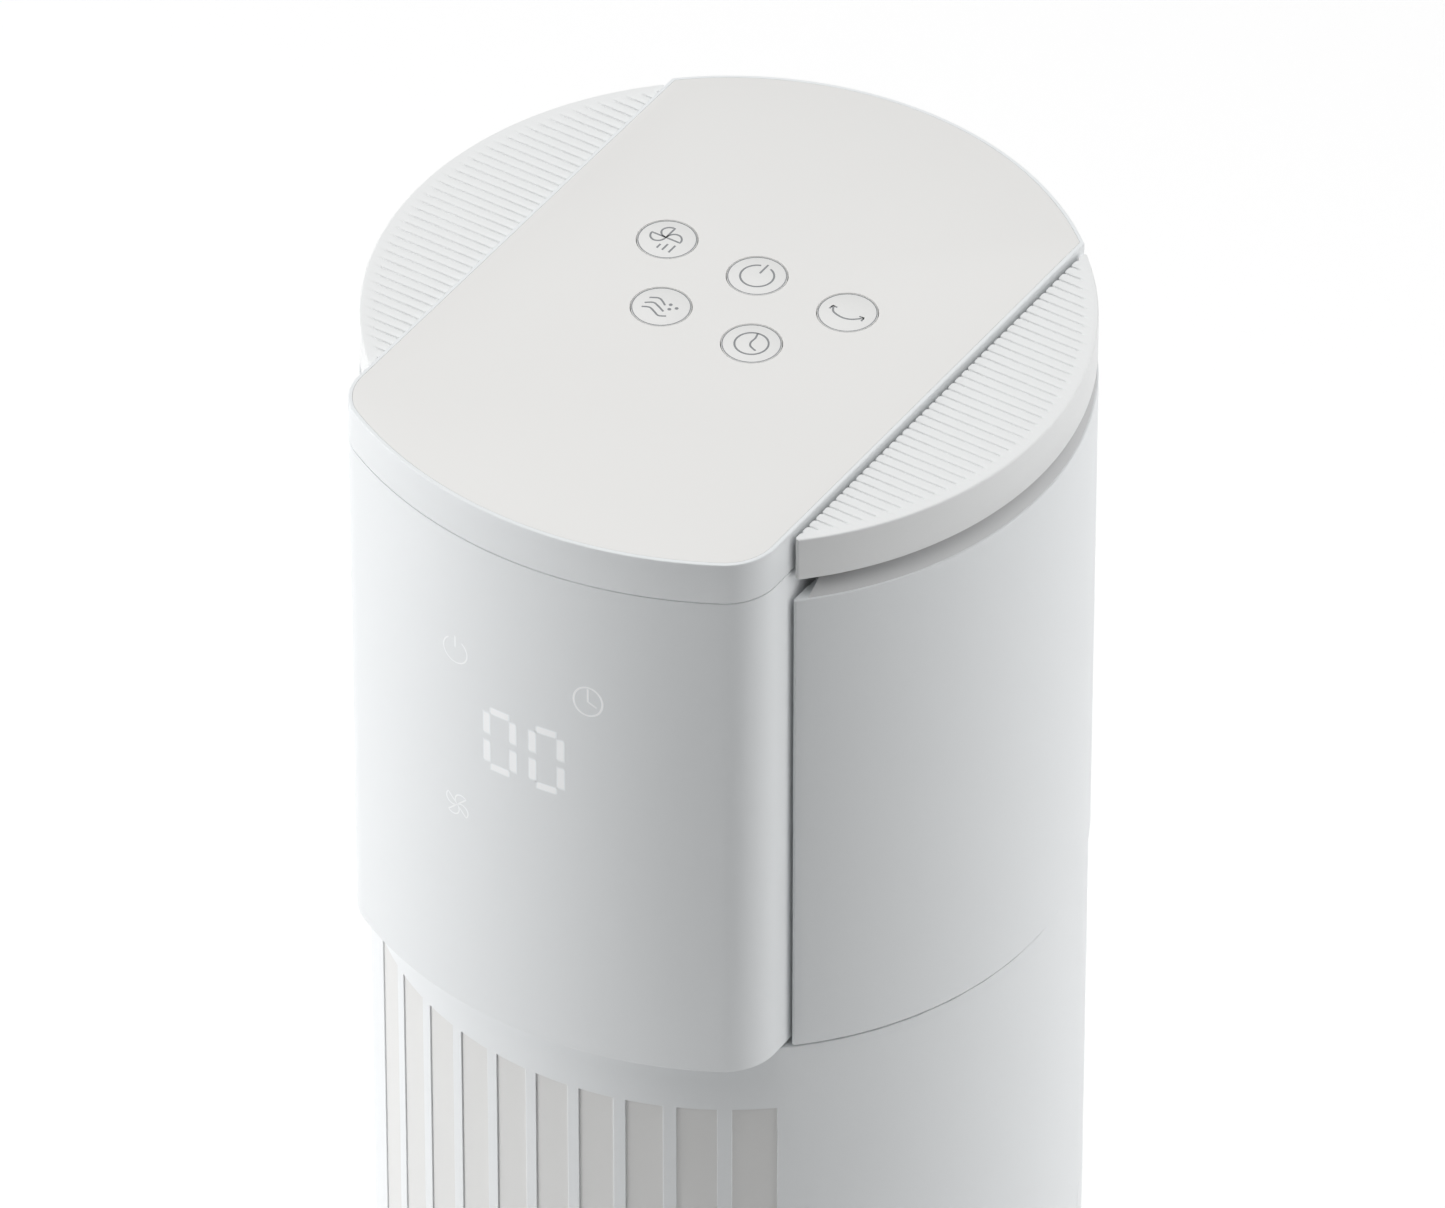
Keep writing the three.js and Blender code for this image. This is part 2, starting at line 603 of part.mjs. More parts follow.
// ---------------------------------------------------------------- head
function makeHead() {
  const centre = (inset, low, high) => prism(stripOutline(inset), low, high);

  // Front panel: the bowed front of the strip with short returns along its sides.
  const shell = cut(centre(0, z.frontFoot, z.frontTop),
    centre(head.wall, z.frontFoot - 1, z.frontTop + 1));
  const returns = -66;
  part('front_panel', cut(shell, box(-90, 90, returns, 130, z.frontFoot - 5, z.frontTop + 5)),
    material.shell);

  // Rear panel between the side panels.
  part('rear_head_panel', cut(shell, box(-90, 90, -140, 70, z.frontFoot - 5, z.frontTop + 5))
    .intersect(box(-73.2, 73.2, 70, 130, z.frontFoot, z.frontTop)), material.shell);

  // Centre cap: a band and a rim round the recess of the top plate.
  const rim = 1.4;
  const plateLow = z.top - 1.6;
  const capLow = z.top - head.band;
  let cap = cut(centre(0, capLow, z.top), centre(head.wall, capLow - 1, z.top - 5),
    centre(rim, plateLow - GAP, z.top + 1));
  cap = cut(cap, box(-90, 90, -80, 80, capLow - 1, z.top - 10));
  const plateBody = centre(rim + 0.25, plateLow, z.top);
  const holes = buttonPlaces.map(([, x, y]) => rod(button.radius + button.gap, 900, 1100, x, y, 24));
  part('centre_cap', cut(cap, ...holes), material.shell);
  part('top_plate', cut(plateBody, ...holes), material.plate);

  const stemLow = z.top - button.height - 3.4;
  for (const [name, x, y] of buttonPlaces) {
    const stem = rod(3, stemLow, z.top - button.height + 0.5, x, y, 10);
    const flange = rod(button.radius + 1.4, z.top - 6.4, z.top - 5.2, x, y, 24);
    const keep = join(rod(button.radius, z.top - 5.4, z.top - 0.05, x, y, 24), flange, stem);
    part(name, keep, material.button);
  }
  const domes = buttonPlaces.map(([, x, y]) => rod(2.5, 990, z.top - 7.4 - button.travel, x, y, 10));
  const pcb = box(-50, 50, -34, 34, 989.4, 991);
  part('control_board', join(pcb, ...domes), material.board);

  // Ribbed caps over the two sides.
  const inner = z.capTop - 3.2;
  let side = cut(prism(segmentOutline(head.capRadius), z.skirt, z.capTop),
    prism(segmentOutline(head.capRadius - head.wall, besideStrip + 2), z.skirt - 1, inner),
    box(besideStrip - 1, besideStrip + 2.5, -66, 66, z.skirt - 1, z.skirt + 2.7));
  for (let i = 0; i < rib.count; i += 1) {
    const y = (i - (rib.count - 1) / 2) * rib.pitch;
    const end = Math.sqrt((head.capRadius - rib.rim) ** 2 - y ** 2);
    if (end > besideStrip + 2) {
      const groove = new THREE.BoxGeometry(end - 60, rib.depth * Math.SQRT2, rib.depth * Math.SQRT2);
      groove.rotateX(Math.PI / 4).translate((end + 60) / 2, y, z.capTop);
      side = side.subtract(solid(groove));
    }
  }
  part('side_cap_right', side, material.ribbed);
  part('side_cap_left', mirrored(side), material.ribbed);

  // Side panels: a curved wall whose top turns inwards as the ledge of the finger slot.
  const ledge = 2.4;
  const wall = cut(prism(segmentOutline(head.radius), z.panelFoot, z.ledge),
    prism(segmentOutline(head.radius - head.wall, besideStrip - 5), z.panelFoot - 1, z.ledge - ledge),
    rod(head.ledgeRadius, 0, HEIGHT + 1, 0, 0, 48));
  part('side_panel_right', wall, material.shell);
  part('side_panel_left', mirrored(wall), material.shell);

  // Chassis: a foot ring, a rectangular column, the wall behind the slots and the deck.
  const column = cut(box(-60, 60, -66, 66, z.casingTop + 1.2, z.skirt + 0.4),
    box(-57, 57, -63, 63, 0, HEIGHT + 1));
  const foot = ring(56, 105, z.casingTop + 1.2, z.casingTop + 4.2, 0, 0, 36)
    .intersect(box(-120, 120, -62, 62, 0, HEIGHT + 1));
  const grip = ring(80, head.ledgeRadius - 0.4, z.ledge - 5, z.skirt + 0.4, 0, 0, 36)
    .intersect(box(-120, 120, -70, 70, 0, HEIGHT + 1));
  const deck = cut(ring(50, 107.2, z.skirt + 0.3, z.skirt + 2.3, 0, 0, 40),
    box(-120, 120, -120, -64, 0, HEIGHT + 1), box(-120, 120, 64, 120, 0, HEIGHT + 1));
  const tied = join(column, foot, grip, deck);
  part('head_chassis', tied, material.chassis);

  // Display: board and light box behind the front panel.
  const lightBox = join(box(-34, 36, -110, -106, 868, 960), box(-26, 30, -113.4, -109, 874, 954));
  part('display_module', lightBox, material.board);
}

makeBase();
makeSwivel();
makeCasing();
makeLouvres();
makeBlower();
makeHead();

export default tower;
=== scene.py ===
"""The looks of a tower fan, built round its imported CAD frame.

Shapes are worked out in millimetres and stored in metres. Angles in plan are measured from the
front (-Y) towards +X.
"""

import json
import math

import bmesh
import bpy
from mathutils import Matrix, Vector
from mathutils.kdtree import KDTree


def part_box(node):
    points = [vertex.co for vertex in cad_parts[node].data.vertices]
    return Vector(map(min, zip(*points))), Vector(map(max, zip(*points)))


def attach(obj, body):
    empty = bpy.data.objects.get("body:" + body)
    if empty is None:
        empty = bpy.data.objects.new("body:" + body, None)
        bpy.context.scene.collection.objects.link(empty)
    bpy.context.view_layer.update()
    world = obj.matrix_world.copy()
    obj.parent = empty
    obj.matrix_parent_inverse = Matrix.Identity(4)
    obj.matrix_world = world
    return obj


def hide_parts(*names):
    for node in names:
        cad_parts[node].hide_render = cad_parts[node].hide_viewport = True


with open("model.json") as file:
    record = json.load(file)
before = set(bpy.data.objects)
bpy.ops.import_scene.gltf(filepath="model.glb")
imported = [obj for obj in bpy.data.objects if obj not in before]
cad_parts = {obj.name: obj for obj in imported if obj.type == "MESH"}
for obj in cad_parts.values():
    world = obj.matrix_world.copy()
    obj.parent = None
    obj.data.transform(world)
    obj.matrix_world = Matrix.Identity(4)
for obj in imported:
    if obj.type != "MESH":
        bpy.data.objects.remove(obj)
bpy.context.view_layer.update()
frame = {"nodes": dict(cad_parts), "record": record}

MM = 0.001
QUARTER = math.pi / 2
HALF_TURN = math.pi
FULL_TURN = 2 * math.pi


def span(name):
    """Lowest and highest corner of a CAD node, in millimetres."""
    low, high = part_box(name)
    return low / MM, high / MM


# ------------------------------------------------------------------ driving dimensions
WALL = 2.2
EASE = 0.12  # inset of the middle point of a small edge made in two steps
CAP_LOW, CAP_HIGH = span("centre_cap")
TOP = CAP_HIGH.z
STRIP_HALF = CAP_HIGH.x
STRIP_BOW = 130.7  # radius of the strip's bowed front
STRIP_CENTRE = CAP_LOW.y + STRIP_BOW
STRIP_CORNER = 18  # radius between the bowed front and the straight sides
CORNER_X = STRIP_HALF - STRIP_CORNER
CORNER_DROP = math.sqrt((STRIP_BOW - STRIP_CORNER) ** 2 - CORNER_X**2)
CORNER_Y = STRIP_CENTRE - CORNER_DROP
CORNER_TURN = math.atan2(CORNER_X, CORNER_DROP)
FRONT_LOW, FRONT_HIGH = span("front_panel")
REAR_LOW, REAR_HIGH = span("rear_head_panel")
SIDE_LOW, SIDE_HIGH = span("side_panel_right")
SIDE_CORNER = 0.8  # round edge beside the strip
RIB_LOW, RIB_HIGH = span("side_cap_right")
BODY_RADIUS = RIB_HIGH.x

SHELL_LOW, SHELL_HIGH = span("lower_casing")
SHELL_RADIUS = SHELL_HIGH.x
SHELL_INNER = SHELL_RADIUS - 2
OUTLET = {"half": 72, "windows": 10, "bar": 3, "low": 190, "high": 776.5}
OUTLET["pitch"] = (2 * OUTLET["half"] + OUTLET["bar"]) / OUTLET["windows"]
LIP = {"hinge": 0.28, "free": 0.58}  # how far the windows narrow towards the surface
INLET = {"half": math.radians(68), "low": 150, "high": 668, "corner": 10}
GRILLE_GAP = 0.5
SOCKET_LOW, SOCKET_HIGH = span("mains_inlet")
SOCKET_GAP = 0.3

RIBS = {
    "pitch": 3.62,
    "count": 47,  # grooves with sections of their own
    "groove": 0.32,  # half width of a groove's mouth
    "lip": 0.2,  # width of a groove's sloping side
    "deep": 0.44,
    "deeper": 0.35,  # extra depth at the ribs' inner ends
    "reach": 6.0,  # how far outwards the extra depth is felt
    "crown": 0.24,  # fall from a rib's middle to its grooves
    "nose": 0.6,  # radius of a rib's inner end
    "rim": 3.4,  # plain band along the round edge
    "fade": 1.6,  # length over which a groove runs out at the rim
}
CAP_EDGE, CAP_INNER_EDGE = 0.7, 0.45

RIM = 1.25  # width of the strip's edge round the top plate
BUTTONS = ["button_speed", "button_power", "button_swing", "button_mode", "button_timer"]
BUTTON_RADIUS = 9.1
BUTTON_GAP = 0.22
SYMBOL_LINE = 0.6
GAP_SHADE_LINE = 0.32  # width of the painted shade ring at each button's edge, standing for the gap round the button
GAP_SHADE_INSET = 0.31
LINE_UNDER, LINE_TOP = 0.002, 0.03  # heights above its surface of every thin line: the print, the painted gap shade and the display's light


# ------------------------------------------------------------------ shapes
def spread(start, end, count):
    """count + 1 even values from start to end."""
    return [start + (end - start) * i / count for i in range(count + 1)]


def arc(radius, start, end, count, x=0.0, y=0.0):
    """count + 1 points in plan, on a circle about (x, y)."""
    return [(x + radius * math.sin(a), y - radius * math.cos(a)) for a in spread(start, end, count)]


def lift(outline, height):
    """A plan outline at a height."""
    return [(x, y, height) for x, y in outline]


class Shape:
    """Points and faces of one mesh, in millimetres."""

    def __init__(self):
        self.points = []
        self.faces = []

    def add(self, points):
        first = len(self.points)
        self.points += [tuple(p) for p in points]
        return list(range(first, len(self.points)))

    def loft(self, rings, wrap_path=False, wrap_rings=False, cap_path=False, cap_rings=False):
        """Skins rings of equal length, closed along the path, across the rings, or capped."""
        rows = [self.add(ring) for ring in rings]
        self.skin(rows, wrap_path, wrap_rings)
        if cap_path:
            self.faces.append([row[0] for row in rows])
            self.faces.append([row[-1] for row in rows])
        if cap_rings:
            self.faces.append(list(rows[0]))
            self.faces.append(list(rows[-1]))
        return rows

    def skin(self, rows, wrap_path=False, wrap_rings=False):
        pairs = list(zip(rows, rows[1:]))
        if wrap_rings:
            pairs.append((rows[-1], rows[0]))
        for a, b in pairs:
            count = len(a)
            for i in range(count if wrap_path else count - 1):
                k = (i + 1) % count
                self.faces.append([a[i], a[k], b[k], b[i]])


def turned_rings(profile, steps, x=0.0, y=0.0):
    """A circle of points for each (radius, height) of a profile."""
    return [lift(arc(radius, 0, FULL_TURN, steps, x, y)[:-1], height) for radius, height in profile]


def lathe(profile, steps):
    """A closed (radius, height) profile turned about the object's axis."""
    shape = Shape()
    shape.loft(turned_rings(profile, steps), wrap_path=True, wrap_rings=True)
    return shape


def disc_stack(profile, steps, x, y):
    """A (radius, height) profile turned about (x, y), with a flat disc at both ends."""
    shape = Shape()
    shape.loft(turned_rings(profile, steps, x, y), wrap_path=True, cap_rings=True)
    return shape


def rounding(radius, steps):
    """(inset, drop) pairs of a quarter round, from the side wall to the top."""
    return [(radius * (1 - math.cos(a)), radius * (1 - math.sin(a))) for a in spread(0, QUARTER, steps)]


def flipped(shape):
    """The mirror image in X."""
    made = Shape()
    made.points = [(-x, y, z) for x, y, z in shape.points]
    made.faces = [list(reversed(face)) for face in shape.faces]
    return made


# ------------------------------------------------------------------ materials
DRIFT_SCALE, GLOSS_SCALE, THREAD_SCALE = 9.0, 160.0, 260.0
GLOSS_SWING = 0.03
GRAIN_DEPTH, THREAD_DEPTH = 0.0004, 0.0005
GLOW_STRENGTH = 0.16


def node(tree, kind, inputs=None, **settings):
    made = tree.nodes.new(kind)
    for key, value in settings.items():
        setattr(made, key, value)
    for key, value in (inputs or {}).items():
        made.inputs[key].default_value = value
    return made


def noise(tree, where, scale, detail=2.0):
    made = node(tree, "ShaderNodeTexNoise", {"Scale": scale, "Detail": detail})
    tree.links.new(where, made.inputs["Vector"])
    return made.outputs["Fac"]


def ranged(tree, value, low, high):
    made = node(tree, "ShaderNodeMapRange", {"To Min": low, "To Max": high})
    tree.links.new(value, made.inputs["Value"])
    return made.outputs["Result"]


def tinted(tree, value, dark, light):
    made = node(tree, "ShaderNodeMix", data_type="RGBA")
    made.inputs["A"].default_value = (*dark, 1)
    made.inputs["B"].default_value = (*light, 1)
    tree.links.new(value, made.inputs["Factor"])
    return made.outputs["Result"]


def raised(tree, height, strength, depth):
    """A bump that the height raises, on the tree's shader."""
    bump = node(tree, "ShaderNodeBump", {"Strength": strength, "Distance": depth})
    tree.links.new(height, bump.inputs["Height"])
    tree.links.new(bump.outputs["Normal"], tree.nodes["Principled BSDF"].inputs["Normal"])


def scaled(color, factor):
    return tuple(min(1.0, c * factor) for c in color)


def surface(name, color, roughness, grain=0.02, grain_scale=2600.0, metallic=0.0, vary=0.015, stretch=None):
    """Moulded or rolled surface: a slow tint and gloss drift over a fine grain."""
    made = bpy.data.materials.new(name)
    made.use_nodes = True
    tree = made.node_tree
    shader = tree.nodes["Principled BSDF"]
    shader.inputs["Metallic"].default_value = metallic
    shader.inputs["IOR"].default_value = 1.46
    where = node(tree, "ShaderNodeTexCoord").outputs["Object"]
    if stretch:
        mapping = node(tree, "ShaderNodeMapping", {"Scale": stretch})
        tree.links.new(where, mapping.inputs["Vector"])
        where = mapping.outputs["Vector"]
    drift = noise(tree, where, DRIFT_SCALE)
    mottled = tinted(tree, drift, scaled(color, 1 - vary), scaled(color, 1 + vary))
    tree.links.new(mottled, shader.inputs["Base Color"])
    patches = noise(tree, where, GLOSS_SCALE, 4.0)
    gloss = ranged(tree, patches, roughness - GLOSS_SWING, roughness + GLOSS_SWING)
    tree.links.new(gloss, shader.inputs["Roughness"])
    raised(tree, noise(tree, where, grain_scale, 3.0), grain, GRAIN_DEPTH)
    return made


def woven(name, color):
    """A fine square mesh: two crossed waves raise and lighten the threads."""
    made = surface(name, color, 0.85)
    tree = made.node_tree
    where = node(tree, "ShaderNodeTexCoord").outputs["Object"]
    crossed = node(tree, "ShaderNodeMath", operation="MAXIMUM")
    for direction, socket in zip("XZ", crossed.inputs):
        wave = node(tree, "ShaderNodeTexWave", {"Scale": THREAD_SCALE, "Distortion": 0.3})
        wave.bands_direction = direction
        tree.links.new(where, wave.inputs["Vector"])
        tree.links.new(wave.outputs["Fac"], socket)
    raised(tree, crossed.outputs["Value"], 0.6, THREAD_DEPTH)
    shade = tinted(tree, crossed.outputs["Value"], scaled(color, 0.35), color)
    tree.links.new(shade, tree.nodes["Principled BSDF"].inputs["Base Color"])
    return made


def lit(name, base):
    """The base material with light coming through where the attribute glow says so."""
    made = base.copy()
    made.name = name
    tree = made.node_tree
    shader = tree.nodes["Principled BSDF"]
    glow = node(tree, "ShaderNodeAttribute", attribute_name="glow")
    strength = node(tree, "ShaderNodeMath", operation="MULTIPLY")
    strength.inputs[1].default_value = GLOW_STRENGTH
    tree.links.new(glow.outputs["Fac"], strength.inputs[0])
    tree.links.new(strength.outputs["Value"], shader.inputs["Emission Strength"])
    shader.inputs["Emission Color"].default_value = (1, 1, 1, 1)
    return made


LOOKS = {
    "shell": surface("shell_plastic", (0.84, 0.862, 0.874), 0.42),
    "plate": surface("plate_plastic", (0.83, 0.825, 0.81), 0.34, grain=0.01),
    "button": surface("button_plastic", (0.82, 0.82, 0.81), 0.36, grain=0.01),
    "ribbed": surface("ribbed_plastic", (0.85, 0.86, 0.86), 0.46),
    "louvre": surface("louvre_plastic", (0.775, 0.775, 0.765), 0.5),
    # the chassis grey is set darker so that the slot coves, which wear it, show painted shade under the
    # ribbed caps
    "chassis": surface("chassis_plastic_and_cove_shade", (0.70, 0.705, 0.71), 0.55, grain=0.05, grain_scale=1400.0),
    "acetal": surface("acetal_plastic", (0.80, 0.79, 0.74), 0.38),
    "blower": surface("blower_plastic", (0.045, 0.048, 0.052), 0.48, grain=0.06, grain_scale=1400.0),
    "steel": surface("plated_steel", (0.58, 0.59, 0.6), 0.34, grain=0.05, metallic=1.0, stretch=(1, 1, 0.15)),
    "rubber": surface("moulded_rubber", (0.03, 0.03, 0.032), 0.8, grain=0.2, grain_scale=900.0),
    "board": surface("board_lacquer", (0.03, 0.16, 0.08), 0.4, vary=0.12),
    "filter": woven("filter_mesh", (0.22, 0.23, 0.24)),
}
# grey print for the symbols; the same grey makes the ring at each button's edge, which paints the shade of
# the gap round it
INK_AND_GAP_SHADE = surface("grey_ink_and_gap_shade", (0.27, 0.28, 0.29), 0.5)
NICKEL = surface("nickel_pins", (0.75, 0.74, 0.70), 0.25, metallic=1.0)
GLOW = lit("display_light", LOOKS["shell"])


# ------------------------------------------------------------------ pieces
MERGE = 0.004  # points closer than this become one
FLAT_CREASE = 32  # degrees between faces that stay sharp


def new_object(name, data):
    made = bpy.data.objects.new(name, data)
    bpy.context.scene.collection.objects.link(made)
    return made


def new_mesh(name, shape, merge=0.0):
    """A shape's mesh in metres, with its faces pointing out."""
    mesh = bpy.data.meshes.new(name)
    mesh.from_pydata([Vector(p) * MM for p in shape.points], [], shape.faces)
    work = bmesh.new()
    work.from_mesh(mesh)
    if merge:
        bmesh.ops.remove_doubles(work, verts=work.verts, dist=merge * MM)
    bmesh.ops.recalc_face_normals(work, faces=work.faces)
    work.to_mesh(mesh)
    work.free()
    return mesh


def smooth(mesh, crease):
    for polygon in mesh.polygons:
        polygon.use_smooth = True
    mesh.set_sharp_from_angle(angle=math.radians(crease))


def add_bevel(made, width, segments=2):
    rounded = made.modifiers.new("edges", "BEVEL")
    rounded.width = width * MM
    rounded.segments = segments
    rounded.limit_method = "ANGLE"
    rounded.angle_limit = math.radians(40)
    rounded.use_clamp_overlap = True
    weighted = made.modifiers.new("shading", "WEIGHTED_NORMAL")
    weighted.keep_sharp = True


def carve(made, cuts):
    """Subtracts closed shapes and keeps the result as the mesh."""
    for shape in cuts:
        cutter = new_object("cutter", new_mesh("cutter", shape))
        boolean = made.modifiers.new("cut", "BOOLEAN")
        boolean.operation = "DIFFERENCE"
        boolean.solver = "EXACT"
        boolean.object = cutter
        bpy.context.view_layer.update()
        result = made.evaluated_get(bpy.context.evaluated_depsgraph_get())
        mesh = bpy.data.meshes.new_from_object(result)
        made.modifiers.clear()
        made.data = mesh
        bpy.data.objects.remove(cutter)
    made.data.name = made.name


def piece(name, shape, slot, body, stands_for=(), bevel=0.0, look=None, crease=FLAT_CREASE, cuts=()):
    """A finished piece from a shape: merged, cut, edge-rounded, shaded and riding on its body."""
    made = new_object(name, new_mesh(name, shape, MERGE))
    made.data.materials.append(look or LOOKS[slot])
    if cuts:
        carve(made, cuts)
    smooth(made.data, crease)
    if bevel:
        add_bevel(made, bevel)
    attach(made, body)
    if stands_for:
        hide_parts(*stands_for)
    return made


# ------------------------------------------------------------------ outlines in plan
def strip_outline(inset):
    """The centre strip's closed outline, moved inwards by inset."""
    half = STRIP_HALF - inset
    corner = STRIP_CORNER - inset
    back = BODY_RADIUS - inset
    back_turn = math.asin(half / back)
    back_y = back * math.cos(back_turn)
    points = arc(STRIP_BOW - inset, -CORNER_TURN, CORNER_TURN, 48, 0, STRIP_CENTRE)
    points += arc(corner, CORNER_TURN, QUARTER, 14, CORNER_X, CORNER_Y)[1:]
    points += [(half, y) for y in spread(CORNER_Y, back_y, 12)[1:-1]]
    points += arc(back, HALF_TURN - back_turn, HALF_TURN + back_turn, 48)
    points += [(-half, y) for y in spread(back_y, CORNER_Y, 12)[1:-1]]
    points += arc(corner, -QUARTER, -CORNER_TURN, 14, -CORNER_X, CORNER_Y)[:-1]
    return points


def front_path(inset, return_y):
    """The strip's front, from the end of one return to the end of the other."""
    half = STRIP_HALF - inset
    corner = STRIP_CORNER - inset
    points = [(-half, return_y)]
    points += arc(corner, -QUARTER, -CORNER_TURN, 16, -CORNER_X, CORNER_Y)
    points += arc(STRIP_BOW - inset, -CORNER_TURN, CORNER_TURN, 56, 0, STRIP_CENTRE)[1:-1]
    points += arc(corner, CORNER_TURN, QUARTER, 16, CORNER_X, CORNER_Y)
    points.append((half, return_y))
    return points


def rear_path(inset, return_y):
    """The head's back between the side panels, with a small corner and a return at both ends."""
    half = REAR_HIGH.x
    corner = WALL + 0.2
    corner_x = half - corner
    corner_y = math.sqrt((BODY_RADIUS - corner) ** 2 - corner_x**2)
    turn = math.atan2(corner_x, -corner_y)
    points = [(half - inset, return_y)]
    points += arc(corner - inset, QUARTER, turn, 6, corner_x, corner_y)
    points += arc(BODY_RADIUS - inset, turn, FULL_TURN - turn, 48)[1:-1]
    points += arc(corner - inset, FULL_TURN - turn, 3 * QUARTER, 6, -corner_x, corner_y)
    points.append((-half + inset, return_y))
    return points


def side_path(inset, radius, chord, return_depth):
    """A side panel's outline: a short return, a round corner, the long arc and back again."""
    corner = max(SIDE_CORNER, inset)
    corner_x = chord + corner
    corner_y = math.sqrt((radius - corner) ** 2 - corner_x**2)
    turn = math.atan2(corner_x, corner_y)
    end = math.sqrt(radius**2 - chord**2) - return_depth
    points = [(chord + inset, -end)]
    points += arc(corner - inset, -QUARTER, turn, 8, corner_x, -corner_y)
    points += arc(radius - inset, turn, HALF_TURN - turn, 60)[1:-1]
    points += arc(corner - inset, HALF_TURN - turn, HALF_TURN + QUARTER, 8, corner_x, corner_y)
    points.append((chord + inset, end))
    return points


# ------------------------------------------------------------------ head
def button_place(name):
    low, high = span(name)
    return (low.x + high.x) / 2, (low.y + high.y) / 2


def button_holes(flare=0.0):
    """Cutters for the buttons' holes, wider by flare at the top face."""
    radius = BUTTON_RADIUS + BUTTON_GAP
    flare_depth, depth, over = 0.25, 12, 2
    profile = [(radius, TOP - depth), (radius, TOP - flare_depth)]
    profile += [(radius + flare, TOP), (radius + flare, TOP + over)]
    return [disc_stack(profile, 72, *button_place(name)) for name in BUTTONS]


def make_centre_cap():
    """The strip's cap: a wall all round, and a narrow edge that frames the top plate."""
    edge = 0.5
    low, hollow = CAP_LOW.z, TOP - 5
    floor = span("top_plate")[0].z - 0.3
    rings = [(WALL, hollow), (WALL, low), (edge, low), (EASE, low + EASE), (0, low + edge)]
    rings += [(inset, TOP - drop) for inset, drop in rounding(edge, 6)]
    rings += [(RIM - 0.04, TOP), (RIM, TOP - 0.05), (RIM, floor)]
    shape = Shape()
    shape.loft([lift(strip_outline(i), h) for i, h in rings], wrap_path=True, cap_rings=True)
    piece("centre_cap_shell", shape, "shell", "tower", ["centre_cap"], cuts=button_holes())


def make_top_plate():
    low = span("top_plate")[0]
    inset = RIM + 0.07
    edge = 0.06
    rings = [(inset, low.z), (inset, TOP - edge)]
    rings += [(inset + i, TOP - d) for i, d in rounding(edge, 3)[1:]]
    shape = Shape()
    shape.loft([lift(strip_outline(i), h) for i, h in rings], wrap_path=True, cap_rings=True)
    piece("top_plate_panel", shape, "plate", "tower", ["top_plate"], cuts=button_holes(flare=0.12))


def make_button(name):
    """A button: a stem, a flange under the plate and the disc that shows."""
    low, high = span(name)
    edge, stem, flange = 0.12, 3, BUTTON_RADIUS + 1.4
    flange_low, flange_high = TOP - 6.4, TOP - 5.2
    profile = [(stem, low.z), (stem, flange_low), (flange, flange_low), (flange, flange_high)]
    profile.append((BUTTON_RADIUS, flange_high))
    profile += [(BUTTON_RADIUS - i, high.z - d) for i, d in rounding(edge, 2)]
    piece(name + "_cap", disc_stack(profile, 72, *button_place(name)), "button", name, [name])


def make_front_panel():
    """The plain front with its turned-in foot, open at the back."""
    return_y = -66.0
    edge, foot, lip, fillet = 0.4, 0.7, 12.5, 0.5
    low, high = FRONT_LOW.z, FRONT_HIGH.z
    section = [(WALL, high), (edge, high), (EASE, high - EASE), (0, high - edge)]
    section += [(inset, low + drop) for inset, drop in rounding(foot, 5)]
    section += [(lip, low), (lip, low + WALL), (WALL + fillet, low + WALL), (WALL, low + WALL + fillet)]
    shape = Shape()
    shape.loft([lift(front_path(i, return_y), h) for i, h in section], wrap_rings=True, cap_path=True)
    piece("front_panel_shell", shape, "shell", "tower", ["front_panel"])


def make_rear_panel():
    return_y = REAR_LOW.y
    edge = 0.4
    low, high = REAR_LOW.z, REAR_HIGH.z
    section = [(WALL, high), (edge, high), (0, high - edge), (0, low + edge), (edge, low), (WALL, low)]
    shape = Shape()
    shape.loft([lift(rear_path(i, return_y), h) for i, h in section], wrap_rings=True, cap_path=True)
    piece("rear_panel_shell", shape, "shell", "tower", ["rear_head_panel"])


def side_panel_shape():
    """The right side panel: a curved wall with a ledge along its top."""
    radius, chord = SIDE_HIGH.x, SIDE_LOW.x
    low, high = SIDE_LOW.z, SIDE_HIGH.z
    edge, top_round, ledge = 0.35, 0.6, 2.4
    ledge_radius = 84.0
    return_depth = 9.0
    section = [(WALL, high - ledge), (WALL, low), (edge, low), (0, low + edge)]
    section += [(inset, high - drop) for inset, drop in rounding(top_round, 6)]
    shape = Shape()
    rows = shape.loft([lift(side_path(i, radius, chord, return_depth), h) for i, h in section])
    turn = math.acos((chord + top_round) / ledge_radius)
    inner = arc(ledge_radius, QUARTER + turn, QUARTER - turn, 40)
    upper = shape.add(lift(inner, high))
    lower = shape.add(lift(inner, high - ledge))
    shape.faces.append(rows[-1] + upper)
    shape.faces.append(rows[0] + lower)
    shape.skin([upper, lower])
    shape.faces.append([rows[-1][-1], upper[0], lower[0], rows[0][-1]])
    shape.faces.append([rows[-1][0], upper[-1], lower[-1], rows[0][0]])
    for end in (0, -1):
        shape.faces.append([row[end] for row in rows])
    return shape


def cove_shape():
    """The slope behind a side panel's top edge, which stops short of the strip at both ends."""
    inset, end_gap, rise, depth = 0.65, 3.4, 5, 6.5
    outer, low, end_x = SIDE_HIGH.x - inset, SIDE_HIGH.z, SIDE_LOW.x + end_gap
    section = [(outer, low), (outer - rise, low + rise), (outer - depth, low + rise), (outer - depth, low)]
    rings = []
    for radius, height in section:
        turn = math.acos(end_x / radius)
        rings.append(lift(arc(radius, QUARTER - turn, QUARTER + turn, 60), height))
    shape = Shape()
    shape.loft(rings, wrap_rings=True, cap_path=True)
    return shape


def make_side_panels():
    right, cove = side_panel_shape(), cove_shape()
    # the coves wear the darker chassis grey as painted shade under the ribbed caps' overhang
    piece("slot_cove_right", cove, "chassis", "tower")
    piece("slot_cove_left", flipped(cove), "chassis", "tower")
    piece("side_panel_right_shell", right, "shell", "tower", ["side_panel_right"])
    piece("side_panel_left_shell", flipped(right), "shell", "tower", ["side_panel_left"])


